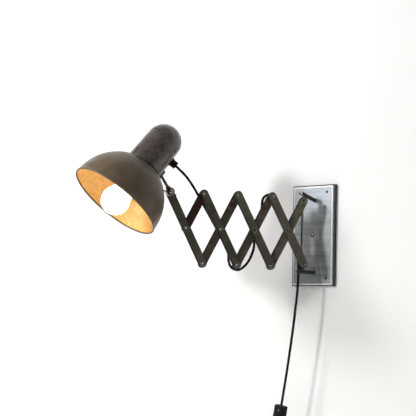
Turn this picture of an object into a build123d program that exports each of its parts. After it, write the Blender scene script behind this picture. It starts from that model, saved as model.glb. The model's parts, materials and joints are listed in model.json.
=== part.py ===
"""Accordion wall lamp: wall plate, scissor arm on a guide rod, and a shaded head on a clamped rod.

Millimetres. The origin is the middle of the plate's back, on the wall. +Z is up and -Y points away
from the wall. The arm lies in an upright plane: s runs along its reach, n squarely off its front.
"""

from build123d import *
from math import atan2, cos, degrees, pi, radians, sin, sqrt, tan
import os

os.makedirs("parts", exist_ok=True)

# ---------------------------------------------------------------- wall plate
plate_width = 100.0
plate_height = 200.0
box_depth = 7.0
box_wall = 1.5
border = 2.0  # black edge of the box that shows round the face plate
face_thickness = 2.0
face_bevel = 1.3
groove_inset = 4.5  # engraved line, from the face plate's edge
groove_width = 0.8
groove_depth = 0.4
mount_spacing_x = 66.0
mount_spacing_z = 170.0
mount_hole = 4.6
boss_diameter = 11.0

# ---------------------------------------------------------------- guide bracket
rod_offset = 3.0  # the guide rod stands a little right of the plate's middle
standoff = 40.0  # plate face to rod centre
rod_diameter = 5.0
leg_diameter = 8.0
leg_beyond_rod = 3.5
leg_top_z = 80.0  # at its tip
leg_root_z = 69.7  # at the plate; the upper leg rises from here to its tip
leg_bottom_z = -73.5
leg_tip_round = 1.6
leg_round_rod = 0.75  # how deep the rod goes into a leg, of its diameter
rod_chamfer = 0.3
rod_end_gap = 0.1
stud_diameter = 5.0
nut_across = 8.0
nut_thickness = 3.0
nut_recess = 0.4

# ---------------------------------------------------------------- scissor arm
arm_heading = 40.0  # degrees from straight out of the wall towards -X
bar_lean = 26.5  # degrees from upright, as the arm stands
half_bar = 75.0  # pivot to pivot
wall_half_bar = 69.0  # from the last crossing to the guide rod
arm_centre_z = 2.5
cells = 3  # full crossings beyond the one at the wall
bar_width = 16.0
bar_depth = 6.5
bar_sheet = 1.5
bar_bend = 1.1  # outer bend radius of the pressed channel
rear_layer = 6.0  # n of the rear bars' open edge
layer_gap = 0.4

# ---------------------------------------------------------------- rivets
shank_diameter = 5.9
pivot_fit = 0.05  # radial
rivet_bore = 3.2
rivet_head = 9.4
rivet_head_height = 0.9
rivet_bevel = 0.4
rivet_crown_bevel = 0.8
rivet_bore_bevel = 0.5
rivet_rim = 0.4  # upright share of the front head's height
washer_gap = 0.12

# ---------------------------------------------------------------- sliders on the rod
collar_diameter = 11.0
collar_fit = 0.08  # radial
slider_height = 9.0
carrier_gap = 0.3
carrier_above_pivot = 5.0
rivet_depth = 7.0
rivet_foot_gap = 0.2
slider_boss = 8.6

# ---------------------------------------------------------------- head joint
knuckle_diameter = 16.5
knuckle_width = 11.6
knuckle_gap = 0.2
knuckle_round = 1.4
sleeve_wall = 2.0  # round the head rod, on the knuckle
sleeve_rise = 3.0
sleeve_inset = 0.6
stem_inset = 0.9
rod_in_knuckle = 2.0
bolt_diameter = 5.9
bolt_head = 8.8
bolt_head_height = 2.8
bolt_round = 2.2
bolt_past_nut = 1.5
bolt_washer = 12.6
bolt_washer_thickness = 0.9
rear_washer = 15.0
rear_washer_thickness = 0.8
wing_hub = 10.5
wing_hub_height = 6.5
wing_hub_taper = 1.0
wing_back = 1.0  # the wings' middle, behind the hub's
wing_neck = 0.7  # of the wings' width
wing_span = 31.0
wing_thickness = 2.6
wing_width = 8.5
wing_tilt = -18.0
head_rod_diameter = 6.0
head_rod_lean = 31.5  # from upright, in the arm's plane
head_turn = 10.0  # the head's turn about its rod
knuckle_radius_out = 70.2  # knuckle centre from the head's axis
knuckle_height = 86.4  # and above the rim

# ---------------------------------------------------------------- head
rim_radius = 91.0
bowl_full_height = 96.5  # half height of the ellipse that the bowl is cut from
shade_sheet = 1.0
bead_radius = 1.7
neck_length = 8.0
neck_fit = 0.1  # radial, at the top of the neck, inside the cap
cap_radius = 36.6
cap_top_radius = 34.6
cap_straight = 64.0
cap_wall = 2.2
cap_seat = 0.1  # between the cap's foot and the bowl
bracket_seat = 0.06  # its lower edge above the cap's foot
bracket_width = 15.0
bracket_height = 19.0
bracket_thickness = 2.4
bracket_screw = 3.0
bracket_screw_pitch = 14.0
bracket_screw_head = 4.2
screw_through = 2.0  # past the neck's inner wall
bracket_screw_head_height = 1.2
rod_boss = 7.4
rod_boss_height = 1.0
grommet_height = 133.0
grommet_flange = 17.0
grommet_flange_thickness = 2.2
grommet_body = 15.0
grommet_length = 10.0
grommet_ribs = 3
grommet_rib_height = 1.0
grommet_rib_share = 0.65  # of the ribs' pitch
grommet_neck = 9.6
grommet_inside = 1.6

# ---------------------------------------------------------------- lamp inside the head
bulb_diameter = 55.0
bulb_length = 98.0
bulb_neck_radius = 14.5
bulb_wall = 0.9
globe_join = 0.62  # where the neck leaves the globe, of the globe's radius
bulb_waist = 2.2
bulb_lips = 2  # thicknesses of glass at the neck's end
base_edge = 0.5
base_sunk = 1.0  # of the collar, under the first turn
base_tip_step = 0.7
base_tip_wide = 4.0
base_tip_heights = (2.0, 3.0)
screw_radius = 13.2
screw_length = 22.0
screw_crest = 0.55
screw_turns = 5
screw_collar = 3.5
holder_radius = 20.5
holder_wall = 2.4
holder_length = 46.0
holder_disc_thickness = 2.0
holder_roof = 4.0
holder_lip = 2.0
base_under_roof = 18.9  # the bulb's base, below the holder's roof
nipple_radius = 5.0
nipple_nut_radius = 8.5
nipple_nut_height = 4.0
nipple_bore = 3.8
nipple_thread_over = 2.0
lead_out = 11.0  # the lead's corners inside the cap
lead_over_nipple = 12.3
lead_in_nipple = 6.0
contact_radius = 5.5
contact_gap = 0.4
contact_sheet = 1.2
part_gap = 0.1  # between pieces that are stacked in one body

# ---------------------------------------------------------------- cord
cord_diameter = 5.0
cord_seat = 0.3  # air between the cord and what it lies on
cord_fit = 0.1
held_share = 0.495  # of a run that an arc may take where the cord is bent tight
free_share = 0.45
clip_reach = 9.6  # rod centre to cord centre, straight out of the wall
clip_wall = 1.2
clip_height = 6.0
clip_neck = 0.6  # of the clip's height

# ---------------------------------------------------------------- inline switch
switch_length = 62.0
switch_width = 24.0
switch_depth = 17.0
switch_round = 5.0
switch_end_round = 2.5
switch_front_depth = 10.0  # of the switch's two halves
switch_entry = 4.0  # how far the cord goes in at each end
rocker_length = 15.0
rocker_width = 9.0
rocker_rise = 5.0  # from its pin out
rocker_below = 1.0
rocker_dish = 30.0
rocker_gap = 0.8
rocker_well = 6.0
rocker_pin_depth = 3.4
rocker_pin_radius = 1.4
rocker_tilt = 7.0
switch_screw = 5.0
switch_screw_spacing = 44.0
switch_screw_sunk = 2.0
switch_screw_length = 2.0
screw_slot_width = 0.9
screw_slot_depth = 1.2
rocker_pin_past_well = 1.6
rocker_pin_air = 0.2
tail_run = 16.8  # below the switch, to the tail's bend
tail_upright = 17.0

# ---------------------------------------------------------------- put-away coil and plug
coil_outer = 37.5  # radius at the middle of the outermost turn
turn_pitch = 5.6
layers_gap = 0.7
turns_in = 6  # half turns that wind inwards
turns_out = 7  # half turns that wind out again
lead_in_radius = 20.0
tie_width = 7.0
tie_thickness = 1.0
tie_room = 0.6
gap_step = 1.2  # along the cord, where its least gap is measured
end_length = 8.0
plug_width = 26.0
plug_depth = 13.6
plug_length = 35.0
plug_round = 5.0
plug_shoulder = 4.0
boot_length = 24.0
boot_top = 7.6
boot_foot = 10.4
boot_entry = 4.0
boot_ribs = 4
boot_groove_share = 0.35  # of the ribs' pitch
boot_groove_depth = 0.4
boot_groove_rise = 0.2
pin_diameter = 4.0
pin_length = 19.0
pin_spacing = 18.6
pin_sunk = 10.0
pin_round = 0.4  # of the pins' diameter

# ---------------------------------------------------------------- frames of the arm
plate_thickness = box_depth + face_thickness
heading = radians(arm_heading)
lean = radians(bar_lean)
reach = Vector(-sin(heading), -cos(heading), 0)
side = Vector(cos(heading), -sin(heading), 0)
up = Vector(0, 0, 1)
rod_foot = Vector(rod_offset, -(plate_thickness + standoff), 0)
front_layer = rear_layer + bar_depth + layer_gap
rear_face = rear_layer + bar_depth
front_face = front_layer + bar_depth


def spot(s, n, z):
    """A point of the arm's own frame."""
    return rod_foot + reach * s + side * n + up * z


def facing(point, x_dir=reach):
    """A place whose Z runs out of the arm's front."""
    return Plane(origin=point, x_dir=x_dir, z_dir=side).location


def put(name, *solids):
    """Write one sub-part, its solids kept separate."""
    bodies = [body for solid in solids for body in solid.solids()]
    shape = bodies[0] if len(bodies) == 1 else Compound(children=bodies)
    shape.label = name
    export_step(shape, f"parts/{name}.step")


def lathe(outline):
    """Turn a closed outline of (radius, height) points about Z."""
    flat = make_face(Polyline(*[(r, 0, h) for r, h in outline], close=True))
    return revolve(flat, Axis.Z)


def rod(radius, low, high):
    """A cylinder along Z between two heights."""
    return Pos(0, 0, low) * extrude(Circle(radius), high - low)


def pipe(outer, inner, low, high):
    """A tube along Z between two heights."""
    return Pos(0, 0, low) * extrude(Circle(outer) - Circle(inner), high - low)


# ---------------------------------------------------------------- wall plate
def plate_parts():
    """The black box on the wall and the brushed face that closes it."""
    holes = [
        Pos(x * mount_spacing_x / 2, z * mount_spacing_z / 2)
        for x in (-1, 1)
        for z in (-1, 1)
    ]
    leg_spots = [Pos(rod_offset, leg_root_z), Pos(rod_offset, leg_bottom_z)]
    # Drawn flat with Y up, then stood on the wall with its front towards -Y.
    stand = Plane(origin=(0, 0, 0), x_dir=(1, 0, 0), z_dir=(0, -1, 0)).location
    box = extrude(Rectangle(plate_width, plate_height), box_depth)
    hollow = Rectangle(plate_width - 2 * box_wall, plate_height - 2 * box_wall)
    box -= extrude(hollow, box_depth - box_wall)
    for hole in holes:
        box += hole * extrude(Circle(boss_diameter / 2), box_depth)
    for hole in holes:
        box -= hole * extrude(Circle(mount_hole / 2), box_depth)
    for leg in leg_spots:
        box -= leg * extrude(Circle(stud_diameter / 2 + pivot_fit), box_depth)
    put("backing_box", stand * box)

    face_width = plate_width - 2 * border
    face_height = plate_height - 2 * border
    face = extrude(Rectangle(face_width, face_height), face_thickness)
    rim = face.faces().sort_by(Axis.Z)[-1].outer_wire().edges()
    face = chamfer(rim, face_bevel)
    outer = Rectangle(face_width - 2 * groove_inset, face_height - 2 * groove_inset)
    inset = groove_inset + groove_width
    inner = Rectangle(face_width - 2 * inset, face_height - 2 * inset)
    face -= Pos(0, 0, face_thickness - groove_depth) * extrude(outer - inner, groove_depth)
    for hole in holes:
        face -= hole * extrude(Circle(mount_hole / 2), face_thickness)
    for leg in leg_spots:
        face -= leg * extrude(Circle(stud_diameter / 2 + pivot_fit), face_thickness)
    put("face_plate", stand * Pos(0, 0, box_depth) * face)


# ---------------------------------------------------------------- guide bracket
def bracket_parts():
    """Two legs that stand off the plate and the rod between them."""
    reach_out = standoff + leg_beyond_rod
    stud_length = box_depth + face_thickness - nut_recess
    out = Plane(origin=(0, 0, 0), x_dir=(1, 0, 0), z_dir=(0, -1, 0)).location
    rod_hole = rod_diameter / 2 + pivot_fit
    rod_depth = leg_diameter * (leg_round_rod - 0.5)
    for name, root_z, tip_z in (("upper_leg", leg_root_z, leg_top_z),
                                ("lower_leg", leg_bottom_z, leg_bottom_z)):
        rise = atan2(tip_z - root_z, reach_out)
        leg = rod(leg_diameter / 2, -leg_diameter, reach_out / cos(rise))
        tip = leg.edges().filter_by(GeomType.CIRCLE).sort_by(Axis.Z)[-1]
        leg = Rot(-degrees(rise), 0, 0) * fillet(tip, leg_tip_round)
        leg -= Pos(0, 0, -2 * leg_diameter) * Box(
            2 * leg_diameter, 2 * leg_diameter, 2 * leg_diameter,
            align=(Align.CENTER, Align.CENTER, Align.MIN))
        leg += rod(stud_diameter / 2, -stud_length, 0)
        leg = Pos(rod_offset, -plate_thickness, root_z) * out * leg
        at_rod = root_z + standoff * tan(rise)
        if root_z > 0:
            low, high = at_rod - leg_diameter, at_rod + rod_depth
        else:
            low, high = at_rod - rod_depth, at_rod + leg_diameter
        leg -= Pos(rod_foot.X, rod_foot.Y, low) * extrude(Circle(rod_hole), high - low)
        put(name, leg)

    nut = extrude(RegularPolygon(nut_across / 2, 6, major_radius=False), nut_thickness)
    nut -= extrude(Circle(stud_diameter / 2 + pivot_fit), nut_thickness)
    nut_y = -(box_depth - box_wall) + nut_thickness
    nuts = [Pos(rod_offset, nut_y, z) * out * nut for z in (leg_root_z, leg_bottom_z)]
    put("leg_nuts", *nuts)

    upper_rise = (leg_top_z - leg_root_z) / reach_out
    low = leg_bottom_z - rod_depth + rod_end_gap
    high = leg_root_z + standoff * upper_rise + rod_depth - rod_end_gap
    guide = rod(rod_diameter / 2, low, high)
    guide = chamfer(guide.edges().filter_by(GeomType.CIRCLE), rod_chamfer)
    put("guide_rod", Pos(rod_foot.X, rod_foot.Y, 0) * guide)


# ---------------------------------------------------------------- scissor arm
def crossing(i):
    """s of crossing i, where 1 is at the head and the last is at the wall."""
    return (wall_half_bar + 2 * half_bar * (cells + 1 - i)) * sin(lean)


def end(i):
    """s of the upper and lower pivots of pair i, where 0 is the head joint."""
    return (wall_half_bar + half_bar * (2 * (cells - i) + 1)) * sin(lean)


top_z = arm_centre_z + half_bar * cos(lean)
bottom_z = arm_centre_z - half_bar * cos(lean)
slider_z = arm_centre_z + wall_half_bar * cos(lean)
carrier_z = arm_centre_z - wall_half_bar * cos(lean)
last = cells + 1


def channel(length, holes):
    """A pressed bar, open behind, with its first pivot at 0 and the holes at given lengths."""
    outline = Pos(length / 2, 0) * SlotCenterToCenter(length, bar_width)
    hollow = Pos(length / 2, 0) * SlotCenterToCenter(length, bar_width - 2 * bar_sheet)
    bar = extrude(outline, bar_depth)
    front = bar.faces().sort_by(Axis.Z)[-1].outer_wire().edges()
    bar = fillet(front, bar_bend)
    bar -= extrude(hollow, bar_depth - bar_sheet)
    for at in holes:
        bar -= Pos(at, 0) * extrude(Circle(shank_diameter / 2 + pivot_fit), bar_depth)
    return bar


def lay_bar(name, layer, first, second, fractions):
    """A bar from one pivot to the other, both given as (s, z)."""
    run = Vector(second[0] - first[0], second[1] - first[1])
    along = (reach * run.X + up * run.Y).normalized()
    place = facing(spot(first[0], layer, first[1]), along)
    put(name, place * channel(run.length, fractions))


def rivet():
    """A shouldered tubular rivet; Z is n, from the rear bar's web to the front bar's."""
    head, shank = rivet_head / 2, shank_diameter / 2
    bore = rivet_bore / 2
    rear_web = rear_face - bar_sheet
    front_web = front_face - bar_sheet
    lip = rivet_head_height
    return lathe(
        [
            (bore, rear_web - washer_gap - lip),
            (head - rivet_bevel, rear_web - washer_gap - lip),
            (head, rear_web - washer_gap - lip + rivet_bevel),
            (head, rear_web - washer_gap),
            (shank, rear_web - washer_gap),
            (shank, rear_face + washer_gap),
            (head, rear_face + washer_gap),
            (head, front_web - washer_gap / 2),
            (shank, front_web - washer_gap / 2),
            (shank, front_face + washer_gap / 2),
            (head, front_face + washer_gap / 2),
            (head, front_face + washer_gap / 2 + lip * rivet_rim),
            (head - rivet_crown_bevel, front_face + lip),
            (bore + rivet_bore_bevel, front_face + lip),
            (bore, front_face + lip - rivet_bevel),
        ]
    )


def arm_parts():
    """Front bars lean back from the wall at the top, rear bars the other way."""
    for i in range(1, last + 1):
        whole = 2 * half_bar if i < last else half_bar + wall_half_bar
        low_z = bottom_z if i < last else carrier_z
        low_s = end(i) if i < last else 0
        lay_bar(f"front_bar_{i}", front_layer, (end(i - 1), top_z), (low_s, low_z),
                [0, half_bar, whole])
        pivots = [(crossing(i), arm_centre_z)]
        if i > 1:
            pivots.append((end(i - 1), top_z))
        if i < last:
            pivots.append((end(i), bottom_z))
        put(f"front_rivets_{i}", *[facing(spot(s, 0, z)) * rivet() for s, z in pivots])

    lay_bar("rear_bar_1", rear_layer, (end(1), top_z), (crossing(1), arm_centre_z),
            [0, half_bar])
    for i in range(2, last + 1):
        whole = 2 * half_bar if i < last else half_bar + wall_half_bar
        high = (end(i), top_z) if i < last else (0, slider_z)
        at = half_bar if i < last else wall_half_bar
        lay_bar(f"rear_bar_{i}", rear_layer, high, (end(i - 1), bottom_z), [0, at, whole])


def slider(name, pivot_z, low, high, web_back):
    """A collar on the guide rod with a boss that carries a bar, and the boss's rivet."""
    bore = rod_diameter / 2 + collar_fit
    collar = Pos(rod_foot.X, rod_foot.Y, 0) * pipe(collar_diameter / 2, bore, low, high)
    boss_front = web_back - washer_gap
    boss = facing(spot(0, 0, pivot_z)) * rod(slider_boss / 2, 0, boss_front)
    shank = shank_diameter / 2 + pivot_fit
    hollow = rod(shank, boss_front - rivet_depth, boss_front)
    body = collar + boss
    body -= Pos(rod_foot.X, rod_foot.Y, 0) * rod(bore, low, high)
    body -= facing(spot(0, 0, pivot_z)) * hollow
    put(name, body)

    web_front = web_back + bar_sheet
    head, bore = rivet_head / 2, rivet_bore / 2
    foot = boss_front - rivet_depth + rivet_foot_gap
    seat = web_front + washer_gap
    crown = seat + rivet_head_height
    pin = lathe(
        [
            (0, foot),
            (shank_diameter / 2, foot),
            (shank_diameter / 2, seat),
            (head, seat),
            (head, seat + rivet_head_height * rivet_rim),
            (head - rivet_crown_bevel, crown),
            (bore + rivet_bore_bevel, crown),
            (bore, crown - rivet_bevel),
            (bore, web_back),
            (0, web_back),
        ]
    )
    put(f"{name}_rivet", facing(spot(0, 0, pivot_z)) * pin)


def slider_parts():
    """The lower carrier stands on the lower leg, the upper slider rides the rod."""
    rest = leg_bottom_z + leg_diameter / 2 + carrier_gap
    slider("lower_carrier", carrier_z, rest, carrier_z + carrier_above_pivot,
           front_face - bar_sheet)
    slider("upper_slider", slider_z, slider_z - slider_height / 2,
           slider_z + slider_height / 2, rear_face - bar_sheet)


# ---------------------------------------------------------------- head joint
def bowl_height(radius, sheet=0.0):
    """Height above the rim at which the bowl has a given radius."""
    wide, tall = rim_radius - sheet, bowl_full_height - sheet
    return tall * sqrt(1 - (radius / wide) ** 2)


cap_foot = bowl_height(cap_radius - cap_wall) + cap_seat
rod_seat_height = cap_foot + bracket_seat + bracket_height / 2
knuckle_back = front_face + knuckle_gap
knuckle_n = knuckle_back + knuckle_width / 2
joint_s = end(0)
joint = spot(joint_s, knuckle_n, top_z)
rod_slope = atan2(rod_seat_height - knuckle_height, knuckle_radius_out - cap_radius)
stem_lean = radians(head_rod_lean)
stem = reach * sin(stem_lean) + up * cos(stem_lean)


def head_place():
    """The head's own frame: its origin in the rim plane, Z towards the cap, X to the knuckle."""
    # In the arm's plane first: the stem is the head's X turned by its slope.
    open_way = stem_lean + pi / 2 + rod_slope
    axis = (reach * sin(open_way) + up * cos(open_way)) * -1
    out = (axis * sin(rod_slope) - stem) * (1 / cos(rod_slope))
    turn = Axis((0, 0, 0), stem)
    axis = axis.rotate(turn, head_turn)
    out = out.rotate(turn, head_turn)
    origin = joint - out * knuckle_radius_out - axis * knuckle_height
    return Plane(origin=origin, x_dir=out, z_dir=axis)


head_frame = head_place()
head = head_frame.location


def joint_parts():
    """Knuckle, bolt and wing nut on the top of the first front bar."""
    at = facing(spot(joint_s, 0, top_z))
    bolt_hole = bolt_diameter / 2 + pivot_fit
    knuckle_front = knuckle_back + knuckle_width
    knuckle = rod(knuckle_diameter / 2, knuckle_back, knuckle_front)
    knuckle = fillet(knuckle.edges().filter_by(GeomType.CIRCLE), knuckle_round)
    knuckle -= rod(bolt_hole, knuckle_back, knuckle_front)
    socket = Plane(origin=joint, z_dir=stem).location
    stem_fit = head_rod_diameter / 2 + pivot_fit
    sleeve_radius = head_rod_diameter / 2 + sleeve_wall
    sleeve = rod(sleeve_radius, bolt_hole + sleeve_inset, knuckle_diameter / 2 + sleeve_rise)
    knuckle = at * knuckle + socket * sleeve
    knuckle -= at * rod(bolt_hole, knuckle_back, knuckle_front)
    knuckle -= socket * rod(stem_fit, bolt_hole + stem_inset, knuckle_diameter)
    put("knuckle", knuckle)

    washer_back = knuckle_front + part_gap
    head_back = washer_back + bolt_washer_thickness + part_gap
    washer = pipe(bolt_washer / 2, bolt_hole, washer_back, washer_back + bolt_washer_thickness)
    put("bolt_washer", at * washer)
    nut_front = front_layer - rear_washer_thickness - 2 * part_gap
    nut_back = nut_front - wing_hub_height
    dome = rod(bolt_head / 2, head_back, head_back + bolt_head_height)
    dome = fillet(dome.edges().filter_by(GeomType.CIRCLE).sort_by(Axis.Z)[-1], bolt_round)
    bolt = dome + rod(bolt_diameter / 2, nut_back - bolt_past_nut, head_back)
    put("clamp_bolt", at * bolt)
    spacer_front = front_face - bar_sheet - part_gap
    spacer = pipe(rivet_head / 2, bolt_hole, front_layer + part_gap, spacer_front)
    washer_back = nut_front + part_gap
    washer = pipe(rear_washer / 2, bolt_hole, washer_back, washer_back + rear_washer_thickness)
    put("clamp_spacers", at * spacer, at * washer)

    hub = Pos(0, 0, nut_back) * Cone(wing_hub / 2 - wing_hub_taper, wing_hub / 2, wing_hub_height,
                                     align=(Align.CENTER, Align.CENTER, Align.MIN))
    lobe_reach = wing_span / 2 - wing_width / 2
    lobe = extrude(Circle(wing_width / 2), wing_thickness / 2, both=True)
    arms = Box(lobe_reach, wing_thickness, wing_width * wing_neck)
    centre = nut_back + wing_hub_height / 2 - wing_back
    nut = hub
    for way in (-1, 1):
        nut += Pos(way * lobe_reach / 2, 0, centre) * arms
        nut += Pos(way * lobe_reach, 0, centre) * Rot(90, 0, 0) * lobe
    nut -= rod(bolt_hole, nut_back - wing_width, nut_front)
    level = Vector(cos(radians(wing_tilt)), sin(radians(wing_tilt)))
    put("wing_nut", facing(spot(joint_s, 0, top_z), reach * level.X + up * -level.Y) * nut)


# ---------------------------------------------------------------- head
cap_dome_start = cap_foot + cap_straight
cap_taper = (cap_radius - cap_top_radius) / cap_straight


def cap_skin(height):
    """The cap's outer radius at a height above the rim."""
    return cap_radius - cap_taper * (height - cap_foot)


neck_radius = cap_skin(cap_foot + neck_length) - cap_wall - neck_fit
neck_top = bowl_height(neck_radius) + neck_length


def bowl_half(sheet, neck):
    """Outline of the bowl from the rim to its neck, as an arc of an ellipse."""
    wide, tall = rim_radius - sheet, bowl_full_height - sheet
    top = degrees(atan2(bowl_height(neck, sheet) / tall, neck / wide))
    return EllipticalCenterArc((0, 0), wide, tall, start_angle=0, arc_size=top)


def bracket_hole(way, depth):
    """One of the two holes for the bracket's screws, out from the head's axis."""
    height = rod_seat_height + way * bracket_screw_pitch / 2
    return Pos(0, 0, height) * Rot(0, 90, 0) * rod(bracket_screw / 2 + pivot_fit, 0, depth)


def shade_part():
    """Spun bowl with a bead at its rim and a short neck inside the cap."""
    inner_neck = neck_radius - shade_sheet
    outer = bowl_half(0, neck_radius)
    inner = bowl_half(shade_sheet, inner_neck)
    sides = [
        outer,
        Line(outer @ 1, (neck_radius, neck_top)),
        Line((neck_radius, neck_top), (inner_neck, neck_top)),
        Line((inner_neck, neck_top), inner @ 1),
        inner,
        Line(inner @ 0, outer @ 0),
    ]
    wall = Plane.XZ * make_face(sides)
    bowl = revolve(wall, Axis.Z)
    bead = Plane.XZ * Pos(rim_radius - shade_sheet / 2, 0) * Circle(bead_radius)
    bowl += revolve(bead, Axis.Z)
    for way in (-1, 1):
        bowl -= bracket_hole(way, cap_radius)
    put("shade", head * bowl)


def cap_half(wall):
    """Outline of the cap from its foot to the crown, on the axis."""
    top = cap_top_radius - wall
    foot = (cap_radius - wall, cap_foot)
    shoulder = (top, cap_dome_start)
    crown = (0, cap_dome_start + top)
    middle = (top * sin(pi / 4), cap_dome_start + top * cos(pi / 4))
    return [Line(foot, shoulder), ThreePointArc(shoulder, middle, crown)]


def cap_parts():
    """The domed cap, its cord grommet and the bracket that joins it to the rod."""
    outer, inner = cap_half(0), cap_half(cap_wall)
    sides = outer + [
        Line(outer[1] @ 1, inner[1] @ 1),
        *inner,
        Line(inner[0] @ 0, outer[0] @ 0),
    ]
    cap = revolve(Plane.XZ * make_face(sides), Axis.Z)
    outwards = Rot(0, 90, 0)
    hole = Pos(0, 0, grommet_height) * outwards
    cap -= hole * rod(grommet_neck / 2 + cord_fit, 0, cap_radius * 2)
    for way in (-1, 1):
        cap -= bracket_hole(way, cap_radius)
    put("dome_cap", head * cap)

    skin = cap_skin(grommet_height)
    flange_in = skin - cap_wall / 2
    grommet = rod(grommet_flange / 2, flange_in, skin + grommet_flange_thickness)
    body_low = skin + grommet_flange_thickness
    grommet += rod(grommet_body / 2 - grommet_rib_height, body_low, body_low + grommet_length)
    pitch = grommet_length / grommet_ribs
    for k in range(grommet_ribs):
        high = body_low + pitch * (k + 1)
        grommet += rod(grommet_body / 2, high - pitch * grommet_rib_share, high)
    grommet += rod(grommet_neck / 2, skin - cap_wall - grommet_inside, skin)
    grommet = hole * grommet
    grommet -= cap
    grommet -= hole * rod(cord_diameter / 2 + cord_fit, 0, cap_radius * 2)
    solids = grommet.solids().sort_by(SortBy.VOLUME)
    put("cord_grommet", head * solids[-1])

    pad = Box(cap_radius + bracket_thickness, bracket_width, bracket_height,
              align=(Align.MIN, Align.CENTER, Align.CENTER))
    pad = Pos(0, 0, rod_seat_height) * fillet(pad.edges().filter_by(Axis.X), bracket_thickness)
    tilt = Pos(cap_radius, 0, rod_seat_height) * Rot(0, 90 + degrees(rod_slope), 0)
    pad += tilt * rod(rod_boss / 2, 0, bracket_thickness + rod_boss_height)
    low = cap_foot - bracket_height
    pad -= Pos(0, 0, low) * Cone(
        cap_skin(low) + pivot_fit, cap_skin(cap_dome_start) + pivot_fit, cap_dome_start - low,
        align=(Align.CENTER, Align.CENTER, Align.MIN))
    rod_tip = bracket_thickness / 2
    pad -= tilt * rod(head_rod_diameter / 2 + pivot_fit, rod_tip, cap_radius)
    for way in (-1, 1):
        pad -= bracket_hole(way, cap_radius * 2)
    put("rod_bracket", head * pad.solids().sort_by(SortBy.VOLUME)[-1])

    screws = []
    for way in (-1, 1):
        under_head = cap_radius + bracket_thickness + pivot_fit
        body = rod(bracket_screw / 2, neck_radius - shade_sheet - screw_through, under_head)
        body += rod(bracket_screw_head / 2, under_head, under_head + bracket_screw_head_height)
        height = rod_seat_height + way * bracket_screw_pitch / 2
        screws.append(head * Pos(0, 0, height) * outwards * body)
    put("bracket_screws", *screws)

    stem_length = (knuckle_radius_out - cap_radius) / cos(rod_slope)
    far = stem_length - knuckle_diameter / 2 + rod_in_knuckle
    put("head_rod", head * tilt * rod(head_rod_diameter / 2, rod_tip + part_gap, far))


# ---------------------------------------------------------------- lamp inside the head
disc_low = neck_top - holder_disc_thickness
holder_floor = disc_low - part_gap - holder_roof
base_end = holder_floor - base_under_roof
bulb_centre = base_end - bulb_length + bulb_diameter / 2
glass_end = base_end - screw_length - screw_collar
holder_foot = disc_low - part_gap - holder_length
nipple_end = neck_top + nipple_nut_height + nipple_thread_over


def bulb_solid(wall):
    """The bulb's outer shape, or its hollow when a wall is taken off."""
    globe = bulb_diameter / 2
    join_height = globe * globe_join
    join_radius = sqrt((globe - wall) ** 2 - join_height**2)
    join = (join_radius, bulb_centre + join_height)
    neck = (bulb_neck_radius - wall, glass_end)
    waist = (bulb_neck_radius + bulb_waist - wall, (join[1] + glass_end) / 2 + bulb_waist)
    flat = make_face([
        Line((0, join[1]), join),
        Spline(join, waist, neck),
        Line(neck, (0, glass_end)),
        Line((0, glass_end), (0, join[1])),
    ])
    return Pos(0, 0, bulb_centre) * Sphere(globe - wall) + revolve(Plane.XZ * flat, Axis.Z)


def bulb_parts():
    """Opal glass and its screw base."""
    glass = bulb_solid(0) - bulb_solid(bulb_wall)
    lip = bulb_lips * bulb_wall
    glass += pipe(bulb_neck_radius, bulb_neck_radius - lip, glass_end - lip, glass_end)
    put("bulb_glass", head * glass.solids().sort_by(SortBy.VOLUME)[-1])

    root = screw_radius - screw_crest
    thread_low = glass_end + screw_collar - base_sunk
    pitch = (screw_length - base_tip_heights[0]) / (screw_turns + 1)
    outline = [(0, glass_end + part_gap), (bulb_neck_radius - base_edge, glass_end + part_gap),
               (root, thread_low)]
    for k in range(screw_turns):
        low = thread_low + pitch * (k + 0.5)
        outline += [(root, low), (screw_radius, low + pitch / 2)]
    high = thread_low + pitch * (screw_turns + 0.5)
    tip_radius = contact_radius - base_tip_step
    shoulder, step = (high + rise for rise in base_tip_heights)
    outline += [(root, high), (tip_radius + base_tip_wide, shoulder), (tip_radius, step),
                (tip_radius, base_end), (0, base_end)]
    put("bulb_base", head * lathe(outline))


def holder_parts():
    """Lampholder, its contacts, and the disc and nipple that carry it in the neck."""
    sleeve_in = screw_radius + contact_gap
    sleeve_out = sleeve_in + contact_sheet
    roof = disc_low - part_gap
    shell = pipe(holder_radius, holder_radius - holder_wall, holder_foot, holder_floor)
    shell += pipe(holder_radius, sleeve_in, holder_foot, holder_foot + holder_lip)
    shell += pipe(holder_radius, nipple_radius + pivot_fit, holder_floor, roof)
    put("lampholder", head * shell)

    sleeve_low = holder_foot + holder_lip + contact_gap
    sleeve_top = holder_floor - part_gap
    sleeve = pipe(sleeve_out, sleeve_in, sleeve_low, sleeve_top)
    sleeve += pipe(sleeve_out, contact_radius + contact_gap, sleeve_top - contact_sheet, sleeve_top)
    pad_low = base_end + part_gap
    centre = rod(contact_radius - 1, pad_low, pad_low + contact_sheet)
    centre += rod(contact_radius / 3, pad_low, sleeve_top)
    put("lampholder_contacts", head * sleeve, head * centre)

    disc_radius = neck_radius - shade_sheet - part_gap
    disc = pipe(disc_radius, nipple_radius + pivot_fit, disc_low, neck_top)
    put("holder_disc", head * disc)
    stem = pipe(nipple_radius, nipple_bore, holder_floor + part_gap, nipple_end)
    nut = extrude(RegularPolygon(nipple_nut_radius, 6), nipple_nut_height)
    nut -= extrude(Circle(nipple_radius + pivot_fit), nipple_nut_height)
    put("nipple", head * stem, head * Pos(0, 0, neck_top + part_gap) * nut)


# ---------------------------------------------------------------- cord held by the arm
cord_radius = cord_diameter / 2
cord_n = rear_layer - cord_seat - cord_radius
clip_spot = rod_foot + Vector(0, -clip_reach, 0)


def behind(pivot, offsets):
    """Points behind the arm, each given from a pivot as (s, z)."""
    return [spot(pivot[0] + s, cord_n, pivot[1] + z) for s, z in offsets]


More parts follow.
